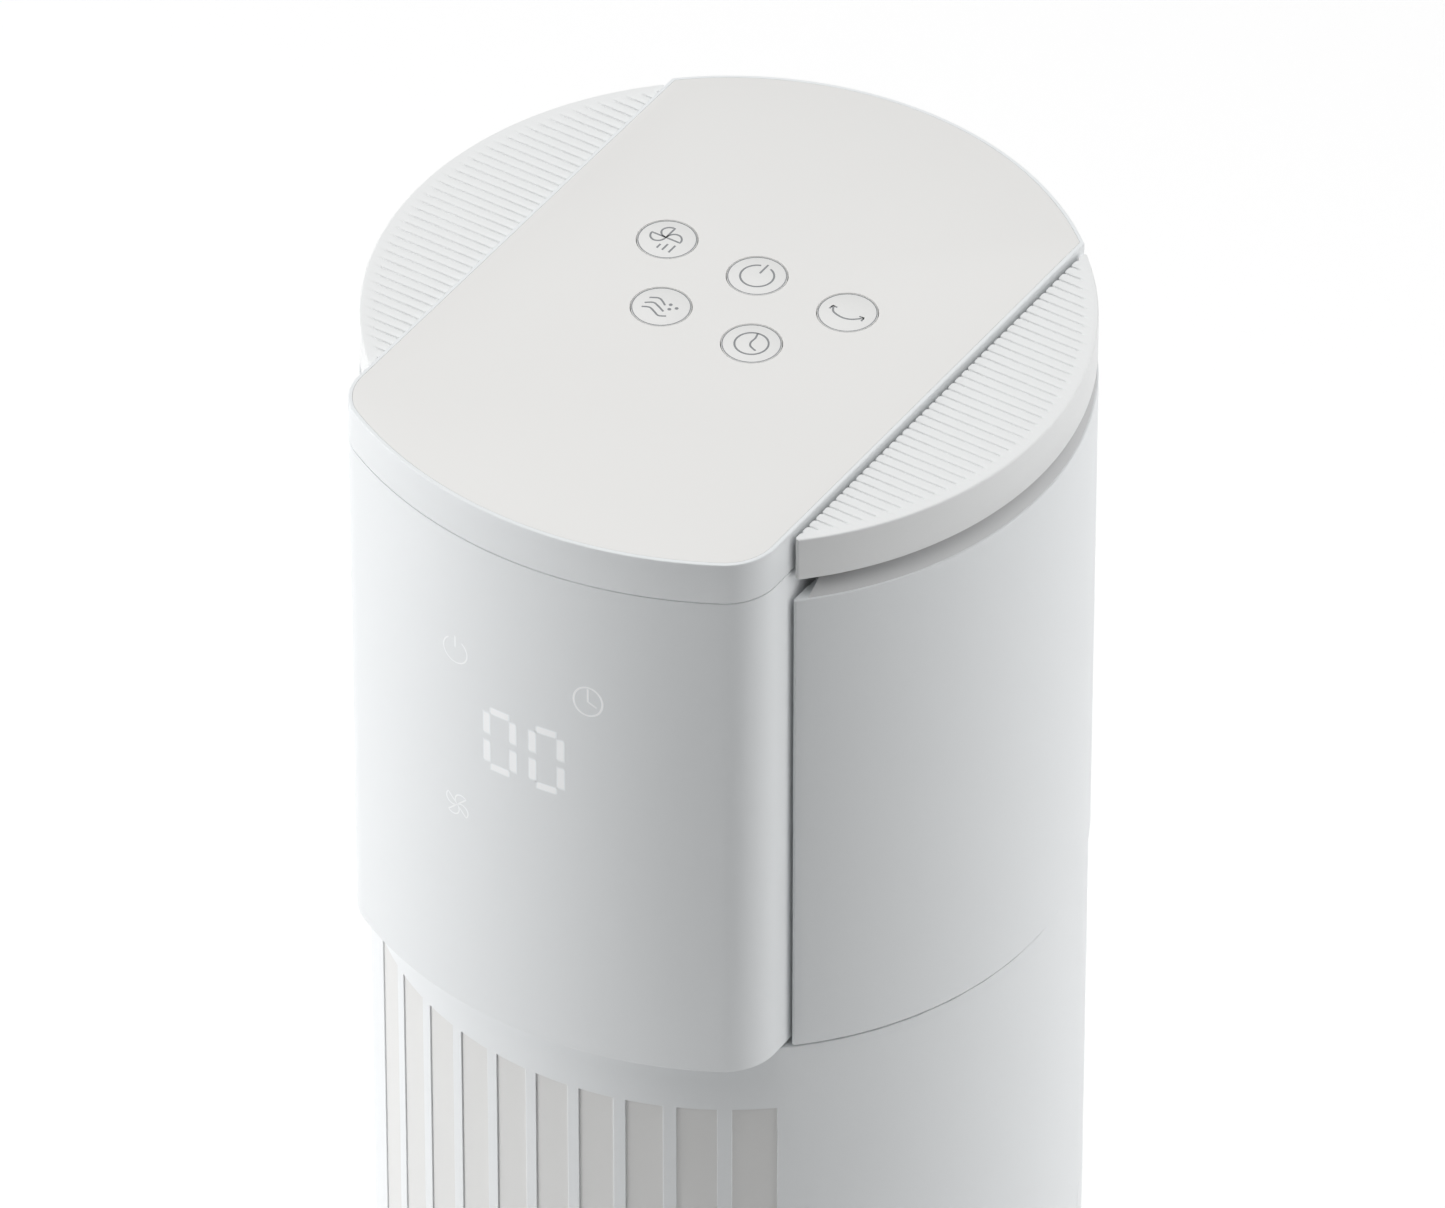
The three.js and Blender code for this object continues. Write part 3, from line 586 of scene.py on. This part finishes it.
def groove_depth(x, away, rim_x):
    """Depth of the ribbed surface at x, and at a distance away from the nearest groove's middle."""
    fade = min(1.0, max(0.0, (rim_x - x) / RIBS["fade"])) ** 0.5
    deep = RIBS["deep"] + RIBS["deeper"] * math.exp((RIB_LOW.x - x) / RIBS["reach"])
    groove = fade * deep * max(0.0, min(1.0, (RIBS["groove"] - away) / RIBS["lip"]))
    half = RIBS["pitch"] / 2
    crown = RIBS["crown"] * fade * max(0.0, (half - away) / half) ** 2
    return groove + crown


def rib_nose(away):
    """How far a rib's round inner end falls back beside its grooves."""
    share = max(0.0, 1 - max(0.0, away - RIBS["groove"]) / RIBS["nose"])
    return RIBS["nose"] * (1 - math.sqrt(max(0.0, 1 - share**2)))


def rib_lines(reach):
    """Where along Y the cap's sections stand: close together beside each groove, and at both ends."""
    beside = (0.14, 0.36, 0.46, 0.62, 0.85, 1.15, 1.5)
    lines = set()
    for i in range(RIBS["count"]):
        centre = (i - (RIBS["count"] - 1) / 2) * RIBS["pitch"]
        for step in beside:
            lines.update((round(centre - step, 3), round(centre + step, 3)))
        lines.add(round(centre + RIBS["pitch"] / 2, 3))
    return [-reach] + sorted(y for y in lines if abs(y) < reach) + [reach]


def rib_section(y):
    """The right cap's (x, height) outline at y. Near the cap's tips it shrinks to fit."""
    chord, low, high = RIB_LOW.x, RIB_LOW.z, RIB_HIGH.z
    foot, inner_foot = 0.45, 0.35
    outer = math.sqrt(BODY_RADIUS**2 - y * y)
    slope = outer / BODY_RADIUS  # cosine of the wall's angle to X
    width = outer - chord
    cut, inner_cut = min(CAP_EDGE, 0.45 * width), min(CAP_INNER_EDGE, 0.45 * width)
    rim_x = math.sqrt(max((BODY_RADIUS - RIBS["rim"]) ** 2 - y * y, 0.0))
    away = abs((y / RIBS["pitch"] + 0.5) % 1.0 - 0.5) * RIBS["pitch"]
    inner = chord + min(rib_nose(away), 0.3 * width)
    start = inner + inner_cut
    end = max(outer - cut / max(slope, 0.5) * 0.9, start + 0.05)

    outline = [(inner + inner_foot, low), (outer - foot, low), (outer, low + foot)]
    for a in spread(0, QUARTER, 4)[:-1]:
        outline.append((outer - (outer - end) * (1 - math.cos(a)), high - cut * (1 - math.sin(a))))
    fade_start = min(max(rim_x - RIBS["fade"], start), end)
    rim = spread(min(max(rim_x, start), end), fade_start, 4)
    for x in [end] + rim + spread(fade_start, start, 14)[1:]:
        outline.append((x, high - groove_depth(x, away, rim_x)))
    side = high - groove_depth(start, away, rim_x)
    for a in spread(QUARTER, 0, 4)[1:]:
        outline.append((start - inner_cut * math.cos(a), side - inner_cut * (1 - math.sin(a))))
    outline.append((inner, low + inner_foot))
    return outline


def side_cap_shape():
    """The right ribbed cap, solid."""
    tip = 1.6  # width where the cap ends beside the strip
    reach = math.sqrt(BODY_RADIUS**2 - (RIB_LOW.x + tip) ** 2)
    shape = Shape()
    sections = [[(x, y, height) for x, height in rib_section(y)] for y in rib_lines(reach)]
    shape.loft(sections, wrap_path=True, cap_rings=True)
    return shape


def cap_cavity():
    """The hollow under a ribbed cap."""
    roof, below = 3.4, 1
    chord = RIB_LOW.x + WALL
    radius = BODY_RADIUS - WALL
    turn = math.acos(chord / radius)
    outline = arc(radius, QUARTER - turn, QUARTER + turn, 60)
    shape = Shape()
    rings = [lift(outline, RIB_LOW.z - below), lift(outline, RIB_HIGH.z - roof)]
    shape.loft(rings, wrap_path=True, cap_rings=True)
    return shape


def make_side_caps():
    right, cavity = side_cap_shape(), cap_cavity()
    for name, shape, hollow in (("right", right, cavity), ("left", flipped(right), flipped(cavity))):
        piece(f"ribbed_cap_{name}", shape, "ribbed", "tower", [f"side_cap_{name}"], cuts=[hollow], crease=50)


# ------------------------------------------------------------------ symbols
def ribbon(shape, line, width, place, glow=None, soft=0.0):
    """A flat strip along a line; place(x, y, height) puts it on its surface.

    glow collects how brightly each point shines, which fades over soft at the edges and ends.
    """
    across = [-width / 2, width / 2]
    marks = [1.0, 1.0]
    if soft:
        across = [-width / 2 - soft, -width / 2 + soft * 0.3, width / 2 - soft * 0.3, width / 2 + soft]
        marks = [0.0, 1.0, 1.0, 0.0]
    closed = line[0] == line[-1]
    points = line[:-1] if closed else line
    count = len(points)
    rows = []
    for i, (x, y) in enumerate(points):
        before = points[i - 1] if closed or i else points[0]
        after = points[(i + 1) % count] if closed or i < count - 1 else points[-1]
        dx, dy = after[0] - before[0], after[1] - before[1]
        length = math.hypot(dx, dy)
        nx, ny = -dy / length, dx / length
        top = [place(x + nx * a, y + ny * a, LINE_TOP) for a in across]
        under = [place(x + nx * a, y + ny * a, LINE_UNDER) for a in reversed(across)]
        rows.append(shape.add(top + under))
        if glow is not None:
            end_fade = 0.0 if soft and not closed and i in (0, count - 1) else 1.0
            glow += [m * end_fade for m in marks] + [0.0] * len(across)
    shape.skin(rows, wrap_path=True, wrap_rings=closed)
    if not closed:
        shape.faces.append(list(rows[0]))
        shape.faces.append(list(rows[-1]))


def circle(x, y, radius, start=0.0, end=FULL_TURN, count=40):
    """A circle or part of one, clockwise from its top."""
    points = [(x + radius * math.sin(a), y + radius * math.cos(a)) for a in spread(start, end, count)]
    if abs(end - start - FULL_TURN) < 1e-6:
        points[-1] = points[0]
    return points


def long_line(start, end, count=8):
    """A straight line in several steps."""
    (x0, y0), (x1, y1) = start, end
    return [(x0 + (x1 - x0) * t, y0 + (y1 - y0) * t) for t in spread(0, 1, count)]


def blade(x, y, turn, length, bulge):
    """A closed half-round blade outline that starts at the hub and turns clockwise."""
    points = [(0, length * t) for t in spread(0, 1, 6)]
    points += [(-bulge * math.sin(a), length * (1 + math.cos(a)) / 2) for a in spread(0, HALF_TURN, 16)[1:-1]]
    c, s = math.cos(turn), math.sin(turn)
    turned = [(x + px * c + py * s, y - px * s + py * c) for px, py in points]
    return turned + turned[:1]


def between(p, q, r, w, t):
    """The value at t between q and r, on the smooth curve through p, q, r and w."""
    square = 2 * p - 5 * q + 4 * r - w
    cube = 3 * q - p - 3 * r + w
    return 0.5 * (2 * q + (r - p) * t + square * t**2 + cube * t**3)


def curve_through(points, steps=6):
    """A smooth line through a few points."""
    ends = [points[0]] + points + [points[-1]]
    line = [points[0]]
    for four in zip(ends, ends[1:], ends[2:], ends[3:]):
        for t in spread(0, 1, steps)[1:]:
            line.append(tuple(between(*values, t) for values in zip(*four)))
    return line


def arrow_tip(side, share):
    """One of the nested corners at an end of the swing symbol."""
    x, y = 5.4, 0.5
    return [(side * (x - 1.5 * share), y - 0.1), (side * x, y), (side * (x + 0.2), y - 1.7 * share)]


def symbol_lines(name):
    """The lines of a button's symbol, in millimetres from the button's centre."""
    if name == "button_power":
        gap = math.radians(19)
        return [circle(0, 0, 5.1, gap, FULL_TURN - gap), [(0, 1.5), (0, 6.2)]]
    if name == "button_timer":
        hand = curve_through([(-1.0, 5.0), (-0.4, 2.7), (-0.5, 0.5), (0.4, -1.2), (2.8, -2.2)])
        return [circle(0, 0, 5.1), hand]
    if name == "button_swing":
        bow = curve_through([(-5.0, 0.0), (-3.7, -1.9), (-0.3, -2.8), (2.6, -2.1), (5.0, -0.1)])
        return [bow] + [arrow_tip(side, share) for side in (-1, 1) for share in (1.0, 0.45)]
    if name == "button_speed":
        blades = [blade(-0.8, 0.6, turn, 5.0, 2.9) for turn in (-QUARTER, 0, QUARTER)]
        bars = [[(x, top), (x, -5.0)] for x, top in ((-0.5, -2.9), (1.4, -1.8), (3.7, -1.2))]
        return blades + bars
    waves = [
        curve_through([(-5.35, 1.8), (-2.85, 3.05), (-1.25, 2.5), (0.6, 1.2)]),
        curve_through([(-5.25, -1.0), (-3.15, 0.4), (-1.25, -0.05), (1.75, -1.55)]),
        curve_through([(-4.95, -3.05), (-2.75, -2.1), (-0.35, -3.1), (1.55, -3.95), (3.65, -2.95)]),
    ]
    dots = [circle(x, y, 0.3, count=10) for x, y in ((1.9, 2.3), (4.3, 1.8), (2.7, 0.3))]
    return waves + dots


def make_symbol(name):
    """The symbol printed on a button and a grey ring at its edge that paints the gap's shade, with a hair of
    thickness.
    """
    x0, y0 = button_place(name)
    top = span(name)[1].z
    shape = Shape()
    # the ring at the button's edge is painted shade for the gap round the button
    outline = circle(0, 0, BUTTON_RADIUS - GAP_SHADE_INSET, count=72)
    for line, width in [(line, SYMBOL_LINE) for line in symbol_lines(name)] + [(outline, GAP_SHADE_LINE)]:
        ribbon(shape, line, width, lambda x, y, h: (x0 + x, y0 + y, top + h))
    piece(name.replace("button", "symbol"), shape, "button", name, look=INK_AND_GAP_SHADE)


# ------------------------------------------------------------------ display
DIGITS = {"top": 924.3, "foot": 902.6, "bar": 2.1, "gap": 0.9, "soft": 0.55}
DIGIT_SIDES = ((-7.3, 2.1), (8.8, 18.2))
SYMBOLS_X, POWER_HEIGHT, BLADES_HEIGHT = -19, 940.7, 880.7
CLOCK_X, CLOCK_HEIGHT = 27, 940.8
FAINT_LINE, CLOCK_LINE, SYMBOL_SOFT = 0.3, 0.5, 0.16


def on_front(x, height, off):
    """A point off the bowed front panel, on a thinner layer than the buttons' ink."""
    radius = STRIP_BOW + off * 0.6
    return x, STRIP_CENTRE - math.sqrt(radius**2 - x * x), height


def digit_bars(left, right):
    """The six lit bars of a nought."""
    top, foot, gap = DIGITS["top"], DIGITS["foot"], DIGITS["gap"]
    middle = (top + foot) / 2
    bars = [long_line((left + gap, height), (right - gap, height)) for height in (top, foot)]
    for x in (left, right):
        bars.append(long_line((x, top - gap), (x, middle + gap)))
        bars.append(long_line((x, middle - gap), (x, foot + gap)))
    return bars


def clock_lines():
    """The clock's dial, drawn a little taller than wide, and its hands in one line."""
    x0, y0 = CLOCK_X, CLOCK_HEIGHT
    dial = [(x0 + x * 0.93, y0 + y * 1.12) for x, y in circle(0, 0, 4.8)]
    hands = long_line((x0, y0 + 5.2), (x0, y0)) + long_line((x0, y0), (x0 + 2.9, y0 - 1.8))[1:]
    return [dial, hands]


def make_display():
    """The light that comes through the front panel: two digits and three symbols."""
    shape, glow = Shape(), []
    for left, right in DIGIT_SIDES:
        for bar in digit_bars(left, right):
            ribbon(shape, bar, DIGITS["bar"], on_front, glow, DIGITS["soft"])
    gap = math.radians(30)
    faint = [circle(SYMBOLS_X, POWER_HEIGHT, 4.6, gap, FULL_TURN - gap)]
    faint.append(long_line((SYMBOLS_X, POWER_HEIGHT + 0.9), (SYMBOLS_X, POWER_HEIGHT + 5.7)))
    for i in range(4):
        faint.append(blade(SYMBOLS_X, BLADES_HEIGHT, math.radians(45) + i * QUARTER, 4.9, 2.5))
    for line in faint:
        ribbon(shape, line, FAINT_LINE, on_front, glow, SYMBOL_SOFT)
    for line in clock_lines():
        ribbon(shape, line, CLOCK_LINE, on_front, glow, SYMBOL_SOFT)
    made = piece("display_glow", shape, "shell", "tower", look=GLOW)
    fill_glow(made, shape, glow)


def fill_glow(made, shape, glow):
    """Stores how brightly each point shines; merged points keep the brighter value."""
    tree = KDTree(len(shape.points))
    for i, point in enumerate(shape.points):
        tree.insert(point, i)
    tree.balance()
    attribute = made.data.attributes.new("glow", "FLOAT", "POINT")
    for vertex, item in zip(made.data.vertices, attribute.data):
        near = tree.find_range(vertex.co / MM, 0.01)
        item.value = max((glow[i] for _, i, _ in near), default=0.0)


# ------------------------------------------------------------------ casing
def on_wall(radius, angle, height):
    return radius * math.sin(angle), -radius * math.cos(angle), height


def casing_sheet(angles, levels, filled, behind, wrap=False):
    """A wall of the casing with openings, on columns of points at the given angles.

    levels(angle) gives the heights of a column's points, as many for each column. filled(i, j) says
    whether the cell between columns i and i + 1 and levels j and j + 1 is there. behind holds the
    inner surface's angles where they differ from the outer one's.
    """
    shape = Shape()
    outside, inside = [], []
    for angle in angles:
        outside.append(shape.add([on_wall(SHELL_RADIUS, angle, z) for z in levels(angle)]))
    for angle in angles:
        inside.append(shape.add([on_wall(SHELL_INNER, behind.get(angle, angle), z) for z in levels(angle)]))
    count = len(angles)
    cells = count if wrap else count - 1
    rows = len(outside[0]) - 1

    def full(i, j):
        if wrap:
            i %= cells
        return 0 <= i < cells and 0 <= j < rows and filled(i, j)

    for i in range(cells):
        k = (i + 1) % count
        for j in range(rows):
            if not full(i, j):
                continue
            for side in (outside, inside):
                shape.faces.append([side[i][j], side[k][j], side[k][j + 1], side[i][j + 1]])
            edges = [
                ((i - 1, j), (i, j), (i, j + 1)),
                ((i + 1, j), (k, j), (k, j + 1)),
                ((i, j - 1), (i, j), (k, j)),
                ((i, j + 1), (i, j + 1), (k, j + 1)),
            ]
            for beyond, (a, b), (c, d) in edges:
                if not full(*beyond):
                    shape.faces.append([outside[a][b], outside[c][d], inside[c][d], inside[a][b]])
    return shape


def window_edges():
    """Left and right edge of each outlet window, in X."""
    edges = []
    for i in range(OUTLET["windows"]):
        left = -OUTLET["half"] + i * OUTLET["pitch"]
        edges.append((left, left + OUTLET["pitch"] - OUTLET["bar"]))
    return edges


def corner_columns(corner):
    """Angles from a straight edge to where its round corner ends, close together at the edge."""
    return [corner * (1 - math.cos(a)) / SHELL_RADIUS for a in spread(0, QUARTER, 8)]


def corner_lift(angle, half, corner):
    """How far a round corner raises the lower edge of an opening about the back at this angle."""
    inside = (half - abs(angle - HALF_TURN)) * SHELL_RADIUS
    if inside >= corner:
        return 0.0
    return corner - math.sqrt(max(0.0, corner**2 - (corner - max(inside, 0.0)) ** 2))


def casing_columns():
    """The casing's columns.

    Returns their angles, the inner surface's angles where they differ, the columns that start a
    cell of a window, and the first and last column of the inlet and of the socket's hole.
    """
    angles = []
    behind = {}
    windows = set()
    margin = OUTLET["half"] + OUTLET["bar"]
    side = math.asin(margin / SHELL_RADIUS)
    angles.append(-side)
    for left, right in window_edges():
        for x in spread(left + LIP["hinge"], right - LIP["free"], 4):
            windows.add(len(angles))
            angles.append(math.asin(x / SHELL_RADIUS))
        windows.remove(len(angles) - 1)
        behind[angles[-5]] = math.asin(left / SHELL_RADIUS)
        behind[angles[-1]] = math.asin(right / SHELL_RADIUS)
    angles.append(side)
    inlet_edge = HALF_TURN - INLET["half"]
    angles += spread(side, inlet_edge, 10)[1:-1]
    inlet_start = len(angles)
    angles += [inlet_edge + turn for turn in corner_columns(INLET["corner"])]
    socket = math.asin((SOCKET_HIGH.x + SOCKET_GAP) / SHELL_RADIUS)
    angles += spread(angles[-1], HALF_TURN - socket, 16)[1:]
    socket_start = len(angles) - 1
    angles += spread(HALF_TURN - socket, HALF_TURN + socket, 6)[1:]
    socket_end = len(angles) - 1
    angles += [FULL_TURN - angle for angle in reversed(angles[inlet_start:socket_start])]
    inlet_end = len(angles) - 1
    angles += spread(angles[-1], FULL_TURN - side, 10)[1:-1]
    return angles, behind, windows, (inlet_start, inlet_end), (socket_start, socket_end)


def make_casing():
    """The round shell with the outlet's windows, the inlet, the socket's hole and a collar at its top."""
    angles, behind, windows, inlet, socket = casing_columns()
    low, high = SHELL_LOW.z, SHELL_HIGH.z
    socket_row, opening = 1, 5  # the rows of cells that hold openings
    margin = OUTLET["half"] + OUTLET["bar"] + 0.5

    def levels(angle):
        if abs(math.sin(angle)) * SHELL_RADIUS < margin and math.cos(angle) > 0:
            sill, head = OUTLET["low"], OUTLET["high"]
            return [low, 60, 120, sill - 6, sill - 3, sill, head, head + 3, head + 6, high]
        raised_by = corner_lift(angle, INLET["half"], INLET["corner"])
        foot, top = INLET["low"] + raised_by, INLET["high"] - raised_by
        socket_low, socket_high = SOCKET_LOW.z - SOCKET_GAP, SOCKET_HIGH.z + SOCKET_GAP
        return [low, socket_low, socket_high, 125, 138, foot, top, 700, 740, high]

    def filled(i, j):
        if j == opening:
            return not (i in windows or inlet[0] <= i < inlet[1])
        if j == socket_row:
            return not socket[0] <= i < socket[1]
        return True

    shape = casing_sheet(angles, levels, filled, behind, wrap=True)
    collar = {"inner": 98, "low": high - 2.2, "high": high - 0.2}
    profile = [(collar["inner"], collar["low"]), (SHELL_INNER, collar["low"])]
    profile += [(SHELL_INNER, collar["high"]), (collar["inner"], collar["high"])]
    shape.loft(turned_rings(profile, 96), wrap_path=True, wrap_rings=True)
    piece("casing_shell", shape, "shell", "tower", ["lower_casing"], bevel=0.2)


def make_rear_grille():
    """The inlet's panel: columns of round-ended slots."""
    low, high = INLET["low"] + GRILLE_GAP, INLET["high"] - GRILLE_GAP
    half = INLET["half"] - GRILLE_GAP / SHELL_RADIUS
    corner = INLET["corner"] - GRILLE_GAP
    columns, rows = 15, 3
    step = math.radians(8.4)
    slot_half, slot_gap, edge = 3.0, 8, 15
    row_height = (INLET["high"] - INLET["low"] - 2 * edge) / rows
    offsets = [-slot_half * math.cos(a) for a in spread(0, HALF_TURN, 8)]
    angles = [HALF_TURN - half + turn for turn in corner_columns(corner)]
    border = len(angles)
    in_slot = {}
    holes = set()
    for c in range(columns):
        centre = HALF_TURN + (c - (columns - 1) / 2) * step
        for k, offset in enumerate(offsets):
            if k < len(offsets) - 1:
                holes.add(len(angles))
            angles.append(centre + offset / SHELL_RADIUS)
            in_slot[angles[-1]] = offset
    angles += [FULL_TURN - angle for angle in reversed(angles[:border])]

    def levels(angle):
        lifted = corner_lift(angle, half, corner)
        shrink = 0.0
        if angle in in_slot:
            shrink = slot_half - math.sqrt(max(0.0, slot_half**2 - in_slot[angle] ** 2))
        made = [low + lifted]
        for r in range(rows):
            foot = INLET["low"] + edge + r * row_height + slot_gap / 2
            made += [foot + shrink, foot + row_height - slot_gap - shrink]
        return made + [high - lifted]

    def filled(i, j):
        return not (i in holes and j % 2 == 1)

    shape = casing_sheet(angles, levels, filled, {})
    piece("inlet_grille_panel", shape, "shell", "tower", ["rear_inlet_grille"], bevel=0.4)


def make_mains_inlet():
    """A two-pin inlet: a block with a figure-of-eight recess and two bright pins."""
    low, high = SOCKET_LOW, SOCKET_HIGH
    middle = (low.z + high.z) / 2
    floor = high.y - 9.0  # the recess's floor
    body = Shape()
    outline = [(low.x, low.z), (high.x, low.z), (high.x, high.z), (low.x, high.z)]
    body.loft([[(x, y, h) for x, h in outline] for y in (low.y, high.y)], wrap_path=True, cap_rings=True)
    apart, radius = 3.3, 4.0
    turns = spread(math.acos(apart / radius), FULL_TURN - math.acos(apart / radius), 24)
    eight = [(-apart + radius * math.cos(a), radius * math.sin(a)) for a in turns]
    eight += [(-x, -h) for x, h in eight[1:-1]]
    hole = Shape()
    rings = [[(x, y, middle + h) for x, h in eight] for y in (floor, high.y + 2)]
    hole.loft(rings, wrap_path=True, cap_rings=True)
    piece("mains_inlet_body", body, "blower", "tower", ["mains_inlet"], cuts=[hole], bevel=0.3)

    pin_x = 4.2
    profile = [(1.1, floor + 0.02), (1.1, high.y - 2.6), (0.8, high.y - 2.1), (0.35, high.y - 1.9)]
    pins = Shape()
    for x in (-pin_x, pin_x):
        rings = []
        for r, y in profile:
            turns = spread(0, FULL_TURN, 20)[:-1]
            rings.append([(x + r * math.cos(a), y, middle + r * math.sin(a)) for a in turns])
        pins.loft(rings, wrap_path=True, cap_rings=True)
    piece("mains_inlet_pins", pins, "steel", "tower", look=NICKEL)


# ------------------------------------------------------------------ base
def make_base():
    """The base's cover: a low rim, a slope and a flat top round its opening, hollow below."""
    low, high = span("base_cover")
    radius, top = high.x, high.z
    edge, skin, opening = 0.5, 2.6, 64
    profile = [(radius - 3.6, low.z), (radius - edge, low.z), (radius, low.z + edge)]
    profile += [(radius, 8.2), (radius - 0.3, 9.7), (radius - 1.1, 11.1)]
    profile += [(radius - 2.4, 12.2), (radius - 4.2, 13.2)]
    profile += [(124, 28), (120, 30.4), (115.5, 33), (112, 34.8), (108, 35.8), (104, top)]
    profile += [(opening + 1.2, top), (opening + 0.4, top - 0.25)]
    profile += [(opening, top - 0.9), (opening, top - skin)]
    profile += [(107.4, top - skin), (122.6, 25.8), (146.4, 9)]
    piece("base_cover_shell", lathe(profile, 160), "shell", "base", ["base_cover"])


# ------------------------------------------------------------------ CAD nodes that stay
def dress_cad_nodes():
    """Gives every CAD node its slot's material, and the visible ones round edges and smooth shading."""
    slots = {part["node"]: part["material_slot"] for part in frame["record"]["subparts"]}
    for name, made in frame["nodes"].items():
        made.data.materials.clear()
        made.data.materials.append(LOOKS[slots[name]])
        if not made.hide_render:
            smooth(made.data, FLAT_CREASE)
            add_bevel(made, 0.25, 1)


# ------------------------------------------------------------------ stage, in metres
CAMERA_TURN = math.radians(32.98)
CAMERA_PITCH = math.radians(39.89)
CAMERA_DISTANCE = 4.917
CAMERA_TARGET = Vector((0.0291, -0.0484, 0.9305))
CAMERA_LENS = 411.8
SKY = {"horizon": 0.0, "zenith": 2.0, "curve": 2.5}
LAMP = {"height": 1.3, "distance": 2.6, "width": 1.4, "tall": 2.2}
LAMP_AIM = Vector((0, 0, 0.85))
FLOOR_SIZE, FLOOR_HEIGHT = 60.0, -0.0002
FLAG = {"distance": 1.3, "width": 2.0, "top": 2.6}


def make_camera():
    data = bpy.data.cameras.new("camera")
    made = new_object("camera", data)
    level = math.cos(CAMERA_PITCH)
    back = Vector((math.sin(CAMERA_TURN) * level, -math.cos(CAMERA_TURN) * level, math.sin(CAMERA_PITCH)))
    made.location = CAMERA_TARGET + back * CAMERA_DISTANCE
    made.rotation_mode = "QUATERNION"
    made.rotation_quaternion = (-back).to_track_quat("-Z", "Y")
    data.lens = CAMERA_LENS
    data.sensor_width = 36
    data.clip_end = 100
    bpy.context.scene.camera = made


def softbox(name, azimuth, power):
    """A large lamp that stands at an azimuth from the front and faces the fan's upper part."""
    data = bpy.data.lights.new(name, "AREA")
    data.shape = "RECTANGLE"
    data.size = LAMP["width"]
    data.size_y = LAMP["tall"]
    data.energy = power
    made = new_object(name, data)
    turn, distance = math.radians(azimuth), LAMP["distance"]
    made.location = (distance * math.sin(turn), -distance * math.cos(turn), LAMP["height"])
    made.rotation_mode = "QUATERNION"
    made.rotation_quaternion = (LAMP_AIM - made.location).to_track_quat("-Z", "Y")


def card(name, corners, shade, roughness, specular=0.5):
    """A plain grey card of the studio, which isn't part of the object."""
    mesh = bpy.data.meshes.new(name)
    mesh.from_pydata(corners, [], [(0, 1, 2, 3)])
    made = new_object(name, mesh)
    look = bpy.data.materials.new(name + "_card")
    look.use_nodes = True
    shader = look.node_tree.nodes["Principled BSDF"]
    shader.inputs["Base Color"].default_value = (shade, shade, shade, 1)
    shader.inputs["Roughness"].default_value = roughness
    shader.inputs["Specular IOR Level"].default_value = specular
    mesh.materials.append(look)
    return made


def make_floor():
    plan = [(-1, -1), (1, -1), (1, 1), (-1, 1)]
    corners = [(x * FLOOR_SIZE, y * FLOOR_SIZE, FLOOR_HEIGHT) for x, y in plan]
    card("floor", corners, 0.97, 0.9, specular=0.1)


def make_flag():
    """A dark card off camera, in front of the fan, that keeps the floor's light off the front."""
    across = Vector((math.cos(CAMERA_TURN), math.sin(CAMERA_TURN), 0)) * FLAG["width"]
    centre = Vector((math.sin(CAMERA_TURN), -math.cos(CAMERA_TURN), 0)) * FLAG["distance"]
    corners = [centre - across / 2, centre + across / 2]
    corners += [corner + Vector((0, 0, FLAG["top"])) for corner in reversed(corners)]
    flag = card("flag", corners, 0.05, 1.0)
    flag.visible_camera = False
    flag.visible_shadow = False


def make_sky():
    """A soft sky: bright overhead, dim at the horizon, and plain white where the camera sees it."""
    world = bpy.data.worlds.new("studio")
    world.use_nodes = True
    tree = world.node_tree
    split = node(tree, "ShaderNodeSeparateXYZ")
    tree.links.new(node(tree, "ShaderNodeTexCoord").outputs["Generated"], split.inputs[0])
    height = ranged(tree, split.outputs["Z"], 0.0, 1.0)
    curve = node(tree, "ShaderNodeMath", operation="POWER")
    curve.inputs[1].default_value = SKY["curve"]
    tree.links.new(height, curve.inputs[0])
    strength = ranged(tree, curve.outputs["Value"], SKY["horizon"], SKY["zenith"])
    seen = node(tree, "ShaderNodeMix", data_type="FLOAT")
    tree.links.new(node(tree, "ShaderNodeLightPath").outputs["Is Camera Ray"], seen.inputs["Factor"])
    tree.links.new(strength, seen.inputs["A"])
    seen.inputs["B"].default_value = 1.0
    background = tree.nodes["Background"]
    background.inputs["Color"].default_value = (1, 1, 1, 1)
    tree.links.new(seen.outputs["Result"], background.inputs["Strength"])
    bpy.context.scene.world = world


def make_stage():
    make_floor()
    make_sky()
    make_flag()
    bpy.context.scene.view_settings.view_transform = "Standard"
    softbox("lamp_left", -54, 35)
    softbox("lamp_right", 120, 18)


make_centre_cap()
make_top_plate()
for button in BUTTONS:
    make_button(button)
    make_symbol(button)
make_front_panel()
make_rear_panel()
make_side_panels()
make_side_caps()
make_display()
make_casing()
make_rear_grille()
make_mains_inlet()
make_base()
dress_cad_nodes()
make_stage()
make_camera()
